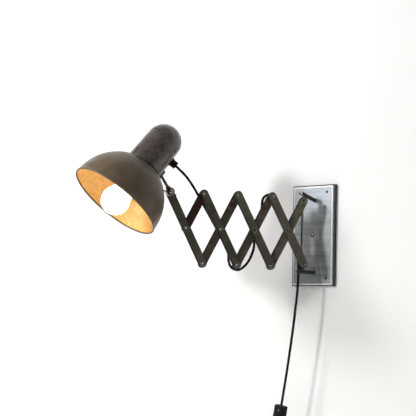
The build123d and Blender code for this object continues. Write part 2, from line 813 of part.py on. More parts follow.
def arcs_of(points, share):
    """The radius at each corner: as large as its shorter run allows."""
    radii = []
    for a, b, c in zip(points, points[1:], points[2:]):
        turn = radians((b - a).get_angle(c - b))
        radii.append(share * min((b - a).length, (c - b).length) / tan(turn / 2))
    return radii


def tube(name, points, share=free_share):
    """A cord along straight runs joined by tangent arcs, its size checked against its path."""
    radii = arcs_of(points, share)
    path = FilletPolyline(*points, radius=radii) if radii else Line(*points)
    solid = sweep(Plane(origin=path @ 0, z_dir=path % 0) * Circle(cord_radius), path=path)
    share_of_volume = solid.volume / (pi * cord_radius**2 * path.length)
    shown = [round(r) for r in radii]
    print(f"{name}: {path.length:.0f} long, radii {shown}, volume over section {share_of_volume:.4f}")
    put(name, solid)


def cut(a, b, before_b):
    """The point on the way from a to b that lies a given way before b."""
    return b - (b - a).normalized() * before_b


# From the pivot under the second pair, round its rivet and up behind the third rear bar.
low_loop = [(14.3, 28.6), (14.8, 9), (10.2, -5.5), (-5.5, -11.5), (-20, -0.5), (-29.8, 15.7),
            (-36.9, 38), (-33.5, 67.1)]
# From the pivot on top of the third pair, over its rivet and down behind the last front bar.
high_loop = [(17, -24), (17.2, -5), (9.2, 3.9), (-2.7, 5.1), (-12.4, -1.9), (-18.4, -37)]
onto_bar_2 = (12, 2)  # from the first pair's upper pivot
above_carrier = (12, 24.2)  # from the lower carrier's pivot
over_clip = 17.0
out_of_grommet = 16.0
before_bar_2 = 22.0
into_loop = 14.0
out_of_loop = 12.0


def in_head(x, z):
    """A point over the knuckle's side of the head, as distance from the axis and height."""
    return head_frame.from_local_coords(Vector(x, 0, z))


grommet_start = cap_skin(grommet_height) - cap_wall - grommet_inside
grommet_end = cap_skin(grommet_height) + grommet_flange_thickness + grommet_length


def held_cord():
    """From the lampholder through the grommet, behind the arm and into the clip, in one route."""
    inner = [in_head(grommet_start, grommet_height), in_head(lead_out, grommet_height),
             in_head(0, nipple_end + lead_over_nipple), in_head(0, nipple_end - lead_in_nipple)]
    tube("cord_inside_cap", inner)
    bend = in_head(grommet_end + out_of_grommet, grommet_height)
    start = behind((end(1), top_z), [onto_bar_2])[0]
    low = behind((end(2), bottom_z), low_loop)
    high = behind((end(3), top_z), high_loop)
    turn = behind((0, carrier_z), [above_carrier])[0]
    along = (low[0] - start).normalized()
    onto_low = cut(start, low[0], into_loop)
    onto_rear = cut(low[-2], low[-1], out_of_loop)
    onto_high = cut(low[-1], high[0], out_of_loop)
    onto_bar_4 = cut(high[-2], high[-1], out_of_loop)
    to_leg = cut(high[-1], turn, into_loop)
    clip_end = clip_spot + up * (leg_bottom_z - clip_height / 2)
    over = clip_spot + up * (leg_bottom_z + clip_height / 2 + over_clip)
    tube("cord_head_span", [inner[0], bend, start - along * before_bar_2, start])
    tube("cord_on_bar_2", [start, onto_low])
    tube("cord_low_loop", [onto_low, *low[:-1], onto_rear], held_share)
    tube("cord_on_rear_bar", [onto_rear, low[-1], onto_high])
    tube("cord_high_loop", [onto_high, *high[:-1], onto_bar_4], held_share)
    tube("cord_on_bar_4", [onto_bar_4, high[-1], to_leg])
    tube("cord_to_leg", [to_leg, turn, over, clip_end])


def clip_part():
    """A ring round the cord on a short neck, glued to the end of the lower leg."""
    bore = cord_radius + cord_fit
    outer = bore + clip_wall
    place = Pos(clip_spot.X, clip_spot.Y, leg_bottom_z)
    ring = place * pipe(outer, bore, -clip_height / 2, clip_height / 2)
    leg_face = rod_foot.Y - leg_beyond_rod
    gap = leg_face - clip_spot.Y
    pad_width = leg_diameter - 2 * leg_tip_round
    neck = Box(clip_wall * 2, gap - bore, clip_height * clip_neck,
               align=(Align.CENTER, Align.MAX, Align.CENTER))
    pad = Plane(origin=(rod_foot.X, leg_face, leg_bottom_z), x_dir=(1, 0, 0), z_dir=(0, -1, 0))
    pad = pad.location * extrude(Circle(pad_width / 2), clip_wall)
    put("cord_clip", ring + Pos(rod_foot.X, leg_face, leg_bottom_z) * neck + pad)


# ---------------------------------------------------------------- hanging cord
hang_y = clip_spot.Y
exit_z = leg_bottom_z - clip_height / 2
# Points of the hanging cord as (x, z), from the clip to the switch.
drop_route = [(rod_foot.X, exit_z), (3.0, -94.0), (-0.2, -126.0), (-5.2, -168.0), (-13.0, -221.0),
              (-22.2, -277.5), (-32.4, -333.0)]


def hanging(route):
    """Points of the hanging cord in the upright plane of the clip."""
    return [Vector(x, hang_y, z) for x, z in route]


drop = hanging(drop_route)
switch_way = (drop[-1] - drop[-2]).normalized()
switch_end = drop[-1] + switch_way * switch_length
# The tail turns upright below the switch, and the coil starts where it ends.
tail_turn = switch_end + switch_way * tail_run
tail_end = tail_turn + Vector(0, 0, -tail_upright)


def switch_parts():
    """Inline rocker switch; its own Z runs down the cord and its Y towards the wall."""
    across = Vector(0, 1, 0).cross(switch_way)
    place = Plane(origin=drop[-1], x_dir=across, z_dir=switch_way).location
    face = -switch_depth / 2
    middle = switch_length / 2
    bore = cord_radius + cord_fit
    body = Box(switch_width, switch_depth, switch_length,
               align=(Align.CENTER, Align.CENTER, Align.MIN))
    body = fillet(body.edges().filter_by(Axis.Z), switch_round)
    body = fillet(body.faces().filter_by(Axis.Z).edges(), switch_end_round)
    body -= rod(bore, 0, switch_entry)
    body -= rod(bore, switch_length - switch_entry, switch_length)
    well_width = rocker_width + rocker_gap
    body -= Pos(0, face, middle) * Box(well_width, 2 * rocker_well, rocker_length + 2 * rocker_gap)
    axle = Pos(0, face + rocker_pin_depth, middle) * Rot(0, 90, 0)
    pin_reach = well_width / 2 + rocker_pin_past_well
    body -= axle * rod(rocker_pin_radius + pivot_fit, -pin_reach, pin_reach)
    into = Rot(-90, 0, 0)
    screw_holes = [
        Pos(0, face, middle + way * switch_screw_spacing / 2) * into for way in (-1, 1)
    ]
    screw_foot = switch_screw_sunk + switch_screw_length
    for hole in screw_holes:
        body -= hole * rod(switch_screw / 2 + pivot_fit, 0, screw_foot)
    seam = Plane(origin=(0, face + switch_front_depth, 0), z_dir=(0, -1, 0))
    put("switch_front", place * split(body, seam, keep=Keep.TOP))
    put("switch_back", place * split(body, seam, keep=Keep.BOTTOM))

    rocker = Box(rocker_width, rocker_rise + rocker_below, rocker_length,
                 align=(Align.CENTER, Align.MIN, Align.CENTER))
    rocker = Pos(0, -rocker_rise, 0) * rocker
    dish_rise = sqrt(rocker_dish**2 - (rocker_length / 2) ** 2)
    rocker -= Pos(0, -rocker_rise - dish_rise, 0) * Rot(0, 90, 0) * Cylinder(
        rocker_dish, rocker_width)
    rocker += Rot(0, 90, 0) * rod(rocker_pin_radius, rocker_pin_air - pin_reach,
                                 pin_reach - rocker_pin_air)
    put("switch_rocker", place * Pos(0, face + rocker_pin_depth, middle) * Rot(rocker_tilt, 0, 0)
        * rocker)
    screw = rod(switch_screw / 2, switch_screw_sunk, screw_foot)
    screw -= Pos(0, 0, switch_screw_sunk) * Box(switch_screw, screw_slot_width, screw_slot_depth)
    put("switch_screws", *[place * hole * screw for hole in screw_holes])


def free_cord():
    """The stretches above and below the switch."""
    tube("cord_drop", [*drop[:-1], drop[-1] + switch_way * switch_entry])
    tube("cord_tail", [switch_end - switch_way * switch_entry, tail_turn, tail_end])


# ---------------------------------------------------------------- coil
down = Vector(0, 0, -1)
left = Vector(-1, 0, 0)
layer_step = Vector(0, cord_diameter + layers_gap, 0)


def quarter(start, ahead, towards, radius):
    """A quarter turn that starts ahead and ends heading towards."""
    middle = start + ahead * (radius * sin(pi / 4)) + towards * (radius * (1 - cos(pi / 4)))
    return ThreePointArc(start, middle, start + ahead * radius + towards * radius)


def half(start, ahead, across):
    """A half turn that starts ahead and ends across, heading back."""
    return ThreePointArc(start, start + across / 2 + ahead * (across.length / 2), start + across)


def coil_path():
    """Winds in over one layer, climbs in the turn where it reverses, and winds out over it."""
    lines = [Line(tail_end, tail_end + down * cord_diameter)]
    lines.append(quarter(lines[-1] @ 1, down, left, lead_in_radius))
    ahead, across, radius = left, down, coil_outer
    for _ in range(turns_in):
        lines.append(half(lines[-1] @ 1, ahead, across * (2 * radius)))
        ahead, across = ahead * -1, across * -1
        radius -= turn_pitch / 2
    lines.append(half(lines[-1] @ 1, ahead, across * (2 * radius) + layer_step))
    for _ in range(turns_out):
        ahead, across = ahead * -1, across * -1
        radius += turn_pitch / 2
        lines.append(half(lines[-1] @ 1, ahead, across * (2 * radius)))
    radius += turn_pitch / 2
    lines.append(quarter(lines[-1] @ 1, left, down, radius))
    lines.append(Line(lines[-1] @ 1, lines[-1] @ 1 + down * cord_diameter))
    return Wire([line.edge() for line in lines])


def least_gap(path):
    """The smallest air between two stretches of the cord that aren't neighbours."""
    count = int(path.length / gap_step)
    points = [tuple(path @ (k / count)) for k in range(count + 1)]
    apart = int(3 * cord_diameter / gap_step)
    nearest = min(
        (a[0] - b[0]) ** 2 + (a[1] - b[1]) ** 2 + (a[2] - b[2]) ** 2
        for i, a in enumerate(points)
        for b in points[i + apart:]
    )
    return sqrt(nearest) - cord_diameter


def coil_parts():
    """The put-away length, its tie, and the plug that hangs from it."""
    path = coil_path()
    coil = sweep(Plane(origin=path @ 0, z_dir=path % 0) * Circle(cord_radius), path=path)
    share_of_volume = coil.volume / (pi * cord_radius**2 * path.length)
    print(f"cord_coil: {path.length:.0f} long, volume over section {share_of_volume:.4f}")
    print(f"cord_coil: least gap {least_gap(path):.2f}")
    put("cord_coil", coil)

    centre = tail_end + down * (cord_diameter + lead_in_radius + coil_outer) + left * lead_in_radius
    inner = coil_outer - turns_in * turn_pitch / 2
    outer = inner + (turns_out + 1) * turn_pitch / 2
    room = cord_radius + tie_room
    low, high = inner - room, outer + room
    wide = layer_step.Y + 2 * room
    band = Box(tie_width, wide + 2 * tie_thickness, high - low + 2 * tie_thickness)
    band = fillet(band.edges().filter_by(Axis.X), tie_thickness * 2)
    hole = Box(tie_width, wide, high - low)
    band -= fillet(hole.edges().filter_by(Axis.X), tie_thickness)
    put("coil_tie", Pos(*(centre + layer_step / 2 + up * ((low + high) / 2))) * band)

    coil_end = path @ 1
    boot = coil_end + down * end_length
    tube("cord_end", [coil_end, boot + down * boot_entry])
    place = Plane(origin=boot, x_dir=(1, 0, 0), z_dir=(0, 0, -1)).location
    sleeve = Cone(boot_top / 2, boot_foot / 2, boot_length,
                  align=(Align.CENTER, Align.CENTER, Align.MIN))
    rib_pitch = boot_length / (boot_ribs + 1)
    for k in range(boot_ribs):
        groove = rib_pitch * (k + 1)
        bottom = boot_top / 2 - boot_groove_depth + boot_groove_rise * k
        sleeve -= pipe(boot_foot, bottom, groove, groove + rib_pitch * boot_groove_share)
    sleeve -= rod(cord_radius + cord_fit, 0, boot_entry)
    put("plug_boot", place * sleeve)
    grip = extrude(RectangleRounded(plug_width, plug_depth, plug_round), plug_length)
    grip = Pos(0, 0, boot_length) * grip
    grip = chamfer(grip.faces().sort_by(Axis.Z)[0].outer_wire().edges(), plug_shoulder)
    pin_low = boot_length + plug_length - pin_sunk
    pin_high = boot_length + plug_length + pin_length
    pins = []
    for way in (-1, 1):
        at = Pos(way * pin_spacing / 2, 0, 0)
        grip -= at * rod(pin_diameter / 2, pin_low, pin_high)
        pin = rod(pin_diameter / 2, pin_low, pin_high)
        tip = pin.edges().filter_by(GeomType.CIRCLE).sort_by(Axis.Z)[-1]
        pins.append(place * at * fillet(tip, pin_diameter * pin_round))
    put("plug_body", place * grip)
    put("plug_pins", *pins)


plate_parts()
bracket_parts()
arm_parts()
slider_parts()
joint_parts()
shade_part()
cap_parts()
bulb_parts()
holder_parts()
held_cord()
clip_part()
switch_parts()
free_cord()
coil_parts()
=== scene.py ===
# %% [markdown]
# # An accordion wall lamp
# The lamp hangs on a small wall plate. A scissor arm of flat bars folds along an upright rod,
# a shaded head stands on a clamped rod at the arm's far end, and the flex runs from the head along
# the arm and down to a switch. The measured solids come in first, as a fixed frame. Here they are
# given their finishes, and the pieces that solids show badly, such as flex and spun metal, are made
# again in Blender. All numbers are metres, with the wall at y = 0 and the room towards -y.

import bpy
import json
from math import atan2, cos, pi, radians, sin, sqrt
from mathutils import Matrix, Vector

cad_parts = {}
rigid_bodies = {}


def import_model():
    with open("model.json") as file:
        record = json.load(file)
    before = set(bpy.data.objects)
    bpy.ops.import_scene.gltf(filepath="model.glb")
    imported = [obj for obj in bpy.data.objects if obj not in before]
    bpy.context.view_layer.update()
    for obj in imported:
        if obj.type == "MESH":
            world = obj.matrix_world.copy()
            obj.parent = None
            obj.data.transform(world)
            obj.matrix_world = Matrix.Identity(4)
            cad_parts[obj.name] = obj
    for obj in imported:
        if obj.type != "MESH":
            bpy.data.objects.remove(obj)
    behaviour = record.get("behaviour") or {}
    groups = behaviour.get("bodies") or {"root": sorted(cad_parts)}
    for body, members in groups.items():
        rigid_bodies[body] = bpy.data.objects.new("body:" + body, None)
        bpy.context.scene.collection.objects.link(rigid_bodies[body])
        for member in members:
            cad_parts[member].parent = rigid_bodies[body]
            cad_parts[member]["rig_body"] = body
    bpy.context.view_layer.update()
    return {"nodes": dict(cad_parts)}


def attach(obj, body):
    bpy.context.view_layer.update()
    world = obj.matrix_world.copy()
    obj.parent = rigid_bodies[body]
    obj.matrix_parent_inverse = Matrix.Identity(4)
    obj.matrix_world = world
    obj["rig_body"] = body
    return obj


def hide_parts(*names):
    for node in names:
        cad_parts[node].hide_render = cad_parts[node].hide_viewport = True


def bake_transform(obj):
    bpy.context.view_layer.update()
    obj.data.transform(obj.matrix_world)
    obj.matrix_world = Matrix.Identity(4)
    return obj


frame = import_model()
nodes = frame["nodes"]

# %% [markdown]
# ## The camera
# The photograph looks up a little from the right of the lamp, with a long lens. The camera's place
# and turn were fitted to the wall plate's corners and holes and to the arm's pivots. It is set once,
# as three axes and a place, so nothing has to be aimed by eye.

# %% Set the camera
camera_place = Vector((1.495603, -2.101461, -0.186284))
camera_yaw, camera_pitch, camera_roll = radians(-40.1941), radians(5.2574), radians(1.3409)

ahead = Vector((sin(camera_yaw) * cos(camera_pitch), cos(camera_yaw) * cos(camera_pitch), sin(camera_pitch)))
level = Vector((cos(camera_yaw), -sin(camera_yaw), 0))
above = level.cross(ahead)
to_right = level * cos(camera_roll) + above * sin(camera_roll)
to_top = above * cos(camera_roll) - level * sin(camera_roll)

lens = bpy.data.cameras.new("camera")
lens.sensor_width = 36
lens.lens = 112.5
lens.clip_end = 50
camera = bpy.data.objects.new("camera", lens)
bpy.context.scene.collection.objects.link(camera)
turn = Matrix((to_right, to_top, -ahead)).transposed().to_4x4()
camera.matrix_world = Matrix.Translation(camera_place) @ turn
bpy.context.scene.camera = camera
bpy.context.scene.view_settings.view_transform = "Standard"
print("camera at", [round(v, 3) for v in camera_place])

# %% [markdown]
# ## Working by hand, in code
# Every operator acts on whatever is selected, and the frame arrives selected. So each piece begins
# with everything let go, and ends with only itself chosen. These few helpers are the hand movements
# that come back all through the lesson.

# %% Helpers for picking pieces up


def let_go():
    """Nothing selected, nothing active, and out of edit mode."""
    if bpy.context.object is not None and bpy.context.object.mode != "OBJECT":
        bpy.ops.object.mode_set(mode="OBJECT")
    bpy.ops.object.select_all(action="DESELECT")
    bpy.context.view_layer.objects.active = None


def take(piece):
    """Only this piece is selected and active."""
    let_go()
    piece.select_set(True)
    bpy.context.view_layer.objects.active = piece


def add_modifier(piece, kind, **settings):
    """Adds a modifier, sets it up and applies it."""
    take(piece)
    bpy.ops.object.modifier_add(type=kind)
    modifier = piece.modifiers[-1]
    for key, value in settings.items():
        setattr(modifier, key, value)
    bpy.ops.object.modifier_apply(modifier=modifier.name)


def smooth(piece, angle=35):
    """Smooth shading, with edges sharper than the angle kept crisp."""
    take(piece)
    bpy.ops.object.shade_smooth_by_angle(angle=radians(angle))


# %% [markdown]
# ## The arm's own measures
# The arm is flat and stands in an upright plane that heads 40 degrees to the left of straight out.
# A point on it is easiest to say as s, its reach from the guide rod, n, how far it stands off the
# plane's front, and z, its height. The head has a frame of its own, with its axis through the cap.

# %% Frames of the arm and the head
heading = radians(40)
reach = Vector((-sin(heading), -cos(heading), 0))
side = Vector((cos(heading), -sin(heading), 0))
up = Vector((0, 0, 1))
rod_foot = Vector((0.003, -0.049, 0))

top_z, bottom_z = 0.06962, -0.06462
slider_z, carrier_z = 0.06425, -0.05925
pair_s = (0.26504, 0.19811, 0.13118, 0.06425)

joint = rod_foot + reach * pair_s[0] + side * 0.0254 + up * top_z
stem_lean = radians(31.5)
rod_slope = atan2(0.099 - 0.0864, 0.0702 - 0.0366)
stem = reach * sin(stem_lean) + up * cos(stem_lean)


def on_arm(s, n, z):
    """A point of the arm's frame."""
    return rod_foot + reach * s + side * n + up * z


def head_axes():
    """Origin in the shade's rim, the way to the knuckle, and the way to the cap's crown."""
    open_way = stem_lean + pi / 2 + rod_slope
    crown = -(reach * sin(open_way) + up * cos(open_way))
    out = (crown * sin(rod_slope) - stem) / cos(rod_slope)
    swivel = Matrix.Rotation(radians(10), 3, stem)
    crown, out = swivel @ crown, swivel @ out
    return joint - out * 0.0702 - crown * 0.0864, out, crown


head_origin, head_out, head_crown = head_axes()
head_place = Matrix((head_out, head_crown.cross(head_out), head_crown)).transposed().to_4x4()
head_place = Matrix.Translation(head_origin) @ head_place
print("head at", [round(v, 4) for v in head_origin], "axis", [round(v, 3) for v in head_crown])


def in_head(x, z):
    """A point on the knuckle's side of the head, as distance from its axis and height."""
    return head_place @ Vector((x, 0, z))


# %% [markdown]
# ## The flex on the arm
# A flex is a fixed length of round rubber, so its line has to be smooth. A NURBS spline gives that:
# its control points stand where the route turns, and the line itself cuts softly inside them. The
# route goes from the head behind the second front bar, round a lower pivot, up behind a rear bar,
# over an upper pivot, down the last front bar and into a clip. Each stretch is its own piece, and
# those along the arm are turned from curves to meshes.

# %% One run of flex
flex_radius = 0.0025
flex_n = 0.0032


def flex(name, route, *stands_for):
    """A smooth run of flex with the route's points as its control points, each as thick as the flex."""
    line = bpy.data.curves.new(name, "CURVE")
    line.dimensions = "3D"
    line.bevel_depth = 1.0
    line.bevel_resolution = 5
    line.resolution_u = 10
    line.use_fill_caps = True
    run = line.splines.new("NURBS")
    run.points.add(len(route) - 1)
    for point, place in zip(run.points, route):
        point.co = (*place, 1)
        point.radius = flex_radius
    run.order_u = 3
    run.use_endpoint_u = True
    piece = bpy.data.objects.new(name, line)
    bpy.context.scene.collection.objects.link(piece)
    if stands_for:
        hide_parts(*stands_for)
    return piece


def as_mesh(piece):
    """The same run as a mesh."""
    take(piece)
    bpy.ops.object.convert(target="MESH")
    return bpy.context.object


def part_between(piece, name, low, high):
    """A copy of a run, cut off square below one point and above the other."""
    mesh = piece.data.copy()
    mesh.name = name
    part = bpy.data.objects.new(name, mesh)
    bpy.context.scene.collection.objects.link(part)
    take(part)
    bpy.ops.object.mode_set(mode="EDIT")
    way = (high - low).normalized()
    for place, beyond in ((low, -1), (high, 1)):
        bpy.ops.mesh.select_all(action="SELECT")
        bpy.ops.mesh.bisect(plane_co=place, plane_no=way * beyond, clear_outer=True, use_fill=True)
    bpy.ops.object.mode_set(mode="OBJECT")
    return part


# %% [markdown]
# The route's points are written from the pivots, as (s, z), the way the flex was laid in the source.

# %% The route behind the arm
low_loop = ((0.0143, 0.0286), (0.0148, 0.009), (0.0102, -0.0055), (-0.0055, -0.0115),
            (-0.02, -0.0005), (-0.0298, 0.0157), (-0.0369, 0.038), (-0.0335, 0.0671))
high_loop = ((0.017, -0.024), (0.0172, -0.005), (0.0092, 0.0039), (-0.0027, 0.0051),
             (-0.0124, -0.0019), (-0.0184, -0.037))


def behind(s, z, offsets):
    """Points behind the arm, given from one of its pivots."""
    return [on_arm(s + ds, flex_n, z + dz) for ds, dz in offsets]


onto_bar_2 = behind(pair_s[1], top_z, [(0.012, 0.002)])[0]
low = behind(pair_s[2], bottom_z, low_loop)
high = behind(pair_s[3], top_z, high_loop)
turn_out = behind(0, carrier_z, [(0.012, 0.0242)])[0]
clip_x, clip_y, clip_low = 0.003, -0.0586, -0.0765
over_clip = Vector((clip_x, clip_y, -0.0535))
clip_end = Vector((clip_x, clip_y, clip_low))

down_bar_2 = (low[0] - onto_bar_2).normalized()
up_rear_bar = (high[0] - low[-1]).normalized()
down_bar_4 = (turn_out - high[-1]).normalized()
between_loops = high[0] - up_rear_bar * 0.012
above_turn = turn_out - down_bar_4 * 0.014
grommet_mouth = in_head(0.0314, 0.133)

# %% [markdown]
# The span from the head to the arm crosses four joints. It is drawn as one line, then cut into four
# parts.

# %% Flex from the head to the arm
head_span = flex("head_span", [grommet_mouth, in_head(0.0634, 0.133),
                               onto_bar_2 - down_bar_2 * 0.022, onto_bar_2])
head_span = as_mesh(head_span)
span_start, span_end = in_head(0.0476, 0.133), onto_bar_2
flex_pieces = []
for k in range(4):
    first = span_start.lerp(span_end, k / 4)
    last = span_start.lerp(span_end, (k + 1) / 4)
    cut_low = first if k else span_start.lerp(span_end, -0.4)
    cut_high = last if k < 3 else span_start.lerp(span_end, 1.3)
    part = part_between(head_span, f"flex_head_span_{k + 1}", cut_low, cut_high)
    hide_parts("cord_head_span")
    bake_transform(part)
    flex_pieces.append(part)
bpy.data.objects.remove(head_span)
print("head span in", len(flex_pieces), "parts")

# %% Flex along the bars and into the clip
in_cap = flex("flex_in_cap", [grommet_mouth, in_head(0.011, 0.133), in_head(0, 0.1158), in_head(0, 0.0975)],
              "cord_inside_cap")
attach(in_cap, "head")

lower_flex = flex("flex_round_lower_pivot", [onto_bar_2, *low, between_loops],
                  "cord_on_bar_2", "cord_low_loop", "cord_on_rear_bar")
lower_flex = as_mesh(lower_flex)
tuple(low[1])
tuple(low[5])
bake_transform(lower_flex)

upper_flex = flex("flex_over_upper_pivot", [between_loops, *high, above_turn],
                  "cord_high_loop", "cord_on_bar_4")
upper_flex = as_mesh(upper_flex)
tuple(high[1])
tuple(high[4])
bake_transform(upper_flex)

to_clip = as_mesh(flex("to_clip", [above_turn, turn_out, over_clip, clip_end]))
middle = turn_out.lerp(over_clip, 0.35)
onto_carrier = part_between(to_clip, "flex_onto_carrier", above_turn + (above_turn - turn_out), middle)
into_clip = part_between(to_clip, "flex_into_clip", middle, clip_end + (clip_end - middle))
bpy.data.objects.remove(to_clip)
for part in (onto_carrier, into_clip):
    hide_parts("cord_to_leg")
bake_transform(onto_carrier)
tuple(turn_out)
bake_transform(into_clip)
flex_pieces += [in_cap, lower_flex, upper_flex, onto_carrier, into_clip]
print("flex pieces on the arm:", [piece.name for piece in flex_pieces])

# %% [markdown]
# ## The hanging flex
# Below the clip the flex hangs free. It comes down to the switch in a slight bow, and goes on from
# the switch to the plug. What the photograph doesn't show of it is wound into a neat coil and tied:
# it winds in over one layer, climbs, and winds out over the next. A coil's turns are only more
# control points of the same spline, twelve to a turn, a little outside the line that they give.

# %% Down to the switch
hang_y = clip_y
hang_route = ((clip_x, clip_low), (0.003, -0.094), (-0.0002, -0.126), (-0.0052, -0.168),
              (-0.013, -0.221), (-0.0222, -0.2775), (-0.0324, -0.333))
hang = [Vector((x, hang_y, z)) for x, z in hang_route]
switch_way = (hang[-1] - hang[-2]).normalized()
switch_entry, switch_length = 0.004, 0.062
switch_end = hang[-1] + switch_way * switch_length
above_switch = flex("flex_above_switch", [*hang[:-1], hang[-1] + switch_way * switch_entry], "cord_drop")
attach(above_switch, "wall_bracket")

# %% The coil and the way to the plug
coil_radius, turn_pitch, layer_step = 0.0375, 0.0056, 0.0057
tail_turn = switch_end + switch_way * 0.0168
coil_start = tail_turn + Vector((0, 0, -0.022))
DOWN, LEFT = Vector((0, 0, -1)), Vector((-1, 0, 0))


def round_turn(start, along, inward, radius, points, climb=0.0):
    """Control points round part of a turn, one for each 30 degrees, just outside its line."""
    outside = 1 / cos(radians(15))
    for k in range(points):
        angle = radians(15 + 30 * k)
        rise = climb * (1 - cos(angle)) / 2
        yield (start + along * (radius * sin(angle) * outside)
               + inward * (radius * (1 - cos(angle) * outside)) + Vector((0, rise, 0)))


def coil_route():
    """Control points from below the switch, in over one layer and out over the other."""
    yield from round_turn(coil_start, DOWN, LEFT, 0.02, 3)
    place, along, inward, radius = coil_start + (DOWN + LEFT) * 0.02, LEFT, DOWN, coil_radius
    for half in range(14):
        climb = layer_step if half == 6 else 0.0
        yield from round_turn(place, along, inward, radius, 6, climb)
        place = place + inward * (2 * radius) + Vector((0, climb, 0))
        along, inward = -along, -inward
        radius += -turn_pitch / 2 if half < 6 else turn_pitch / 2
    yield from round_turn(place, along, DOWN, radius, 3)
    corner = place + LEFT * radius + DOWN * radius
    yield corner + DOWN * 0.005
    yield corner + DOWN * 0.017


below_route = [switch_end - switch_way * switch_entry, tail_turn, *coil_route()]
below_switch = flex("flex_below_switch", below_route, "cord_tail", "cord_coil", "cord_end")
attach(below_switch, "wall_bracket")
flex_pieces += [above_switch, below_switch]
print("coil points", len(below_route), "ends at", [round(v, 4) for v in below_route[-1]])

# %% [markdown]
# ## Finishes
# A finish is one Principled shader and a few patterns that change its colour, its roughness or its
# surface a little from place to place. All the patterns read the object's own coordinates in metres,
# so a grain of two millimetres is the same on every piece. Numbers that don't vary are set on the
# shader itself. The lamp is an old one: its paint is worn, its nickel dull and its steel tarnished.

# %% The start of a finish
def finish(name, roughness=0.5, metallic=0.0, **sockets):
    """A new material, and the pieces coordinates that its patterns read."""
    material = bpy.data.materials.new(name)
    material.use_nodes = True
    shader = material.node_tree.nodes["Principled BSDF"]
    shader.inputs["Roughness"].default_value = roughness
    shader.inputs["Metallic"].default_value = metallic
    for key, value in sockets.items():
        shader.inputs[key.replace("_", " ")].default_value = value
    coordinates = material.node_tree.nodes.new("ShaderNodeTexCoord")
    return material, coordinates.outputs["Object"]


def stretched(material, place, scale, turned=(0, 0, 0)):
    """Coordinates drawn out or squeezed, for grain that runs one way."""
    mapping = material.node_tree.nodes.new("ShaderNodeMapping")
    mapping.inputs["Scale"].default_value = scale
    mapping.inputs["Rotation"].default_value = turned
    material.node_tree.links.new(place, mapping.inputs["Vector"])
    return mapping.outputs["Vector"]


def mottle(material, place, size, detail=4.0, rough=0.55, warp=0.0):
    """Soft noise from 0 to 1 whose patches are about a given size in metres."""
    noise = material.node_tree.nodes.new("ShaderNodeTexNoise")
    noise.inputs["Scale"].default_value = 1 / size
    noise.inputs["Detail"].default_value = detail
    noise.inputs["Roughness"].default_value = rough
    noise.inputs["Distortion"].default_value = warp
    material.node_tree.links.new(place, noise.inputs["Vector"])
    return noise.outputs["Fac"]


def tones(material, value, stops):
    """Colours, or greys, along a value."""
    ramp = material.node_tree.nodes.new("ShaderNodeValToRGB")
    band = ramp.color_ramp
    while len(band.elements) < len(stops):
        band.elements.new(0.5)
    for element, (at, colour) in zip(band.elements, stops):
        element.position = at
        element.color = (*colour, 1) if len(colour) == 3 else (colour[0],) * 3 + (1,)
    material.node_tree.links.new(value, ramp.inputs["Fac"])
    return ramp.outputs["Color"]


def over(material, under, top, share, blend="MIX"):
    """One colour laid over another by a share."""
    mix = material.node_tree.nodes.new("ShaderNodeMix")
    mix.data_type = "RGBA"
    mix.blend_type = blend
    for socket, value in ((mix.inputs["Factor"], share), (mix.inputs[6], under), (mix.inputs[7], top)):
        if isinstance(value, bpy.types.NodeSocket):
            material.node_tree.links.new(value, socket)
        else:
            socket.default_value = value if isinstance(value, float) else (*value, 1)
    return mix.outputs[2]


def give(material, **sockets):
    """Links patterns to the shader's own sockets."""
    shader = material.node_tree.nodes["Principled BSDF"]
    for key, value in sockets.items():
        material.node_tree.links.new(value, shader.inputs[key.replace("_", " ")])
    return material


def relief(material, value, depth):
    """Bumps of a depth in metres."""
    bump = material.node_tree.nodes.new("ShaderNodeBump")
    bump.inputs["Distance"].default_value = depth
    material.node_tree.links.new(value, bump.inputs["Height"])
    material.node_tree.links.new(bump.outputs["Normal"],
                                 material.node_tree.nodes["Principled BSDF"].inputs["Normal"])
    return material


# %% [markdown]
# ### Metals
# Bright metal takes its look from what it mirrors, so its own colour is grey and what varies is the
# roughness. The face plate is brushed along its width: its noise is drawn out sideways into lines.
# Its colour changes with height: darker and greener at the foot, palest just above the middle, and
# darker and bluer again at the top. The nickel of the rods is dull and a little pitted.

# %% Brushed face plate
def brushed_plate():
    """Steel brushed sideways, its colour changing with height."""
    made, place = finish("brushed_plate", 0.42, 0.4)
    lines = mottle(made, stretched(made, place, (3, 3, 900)), 1.0, 3.0, 0.6)
    streaks = mottle(made, stretched(made, place, (4, 4, 60)), 1.0, 2.0)
    height = made.node_tree.nodes.new("ShaderNodeSeparateXYZ")
    made.node_tree.links.new(place, height.inputs[0])
    span = made.node_tree.nodes.new("ShaderNodeMapRange")
    span.inputs["From Min"].default_value = -0.1
    span.inputs["From Max"].default_value = 0.1
    made.node_tree.links.new(height.outputs["Z"], span.inputs["Value"])
    base = tones(made, span.outputs[0], ((0.0, (0.46, 0.5, 0.49)), (0.3, (0.52, 0.56, 0.555)),
                                         (0.6, (0.54, 0.58, 0.59)), (1.0, (0.46, 0.5, 0.57))))
    darker = tones(made, streaks, ((0.38, (0.5, 0.52, 0.5)), (0.6, (1, 1, 1))))
    base = over(made, base, darker, 0.7, "MULTIPLY")
    base = over(made, base, tones(made, lines, ((0.35, (0.8,)), (0.65, (1,)))), 0.5, "MULTIPLY")
    give(made, Base_Color=base, Roughness=tones(made, streaks, ((0.3, (0.42,)), (0.7, (0.26,)))))
    return relief(made, lines, 0.00004)


plate_steel = brushed_plate()

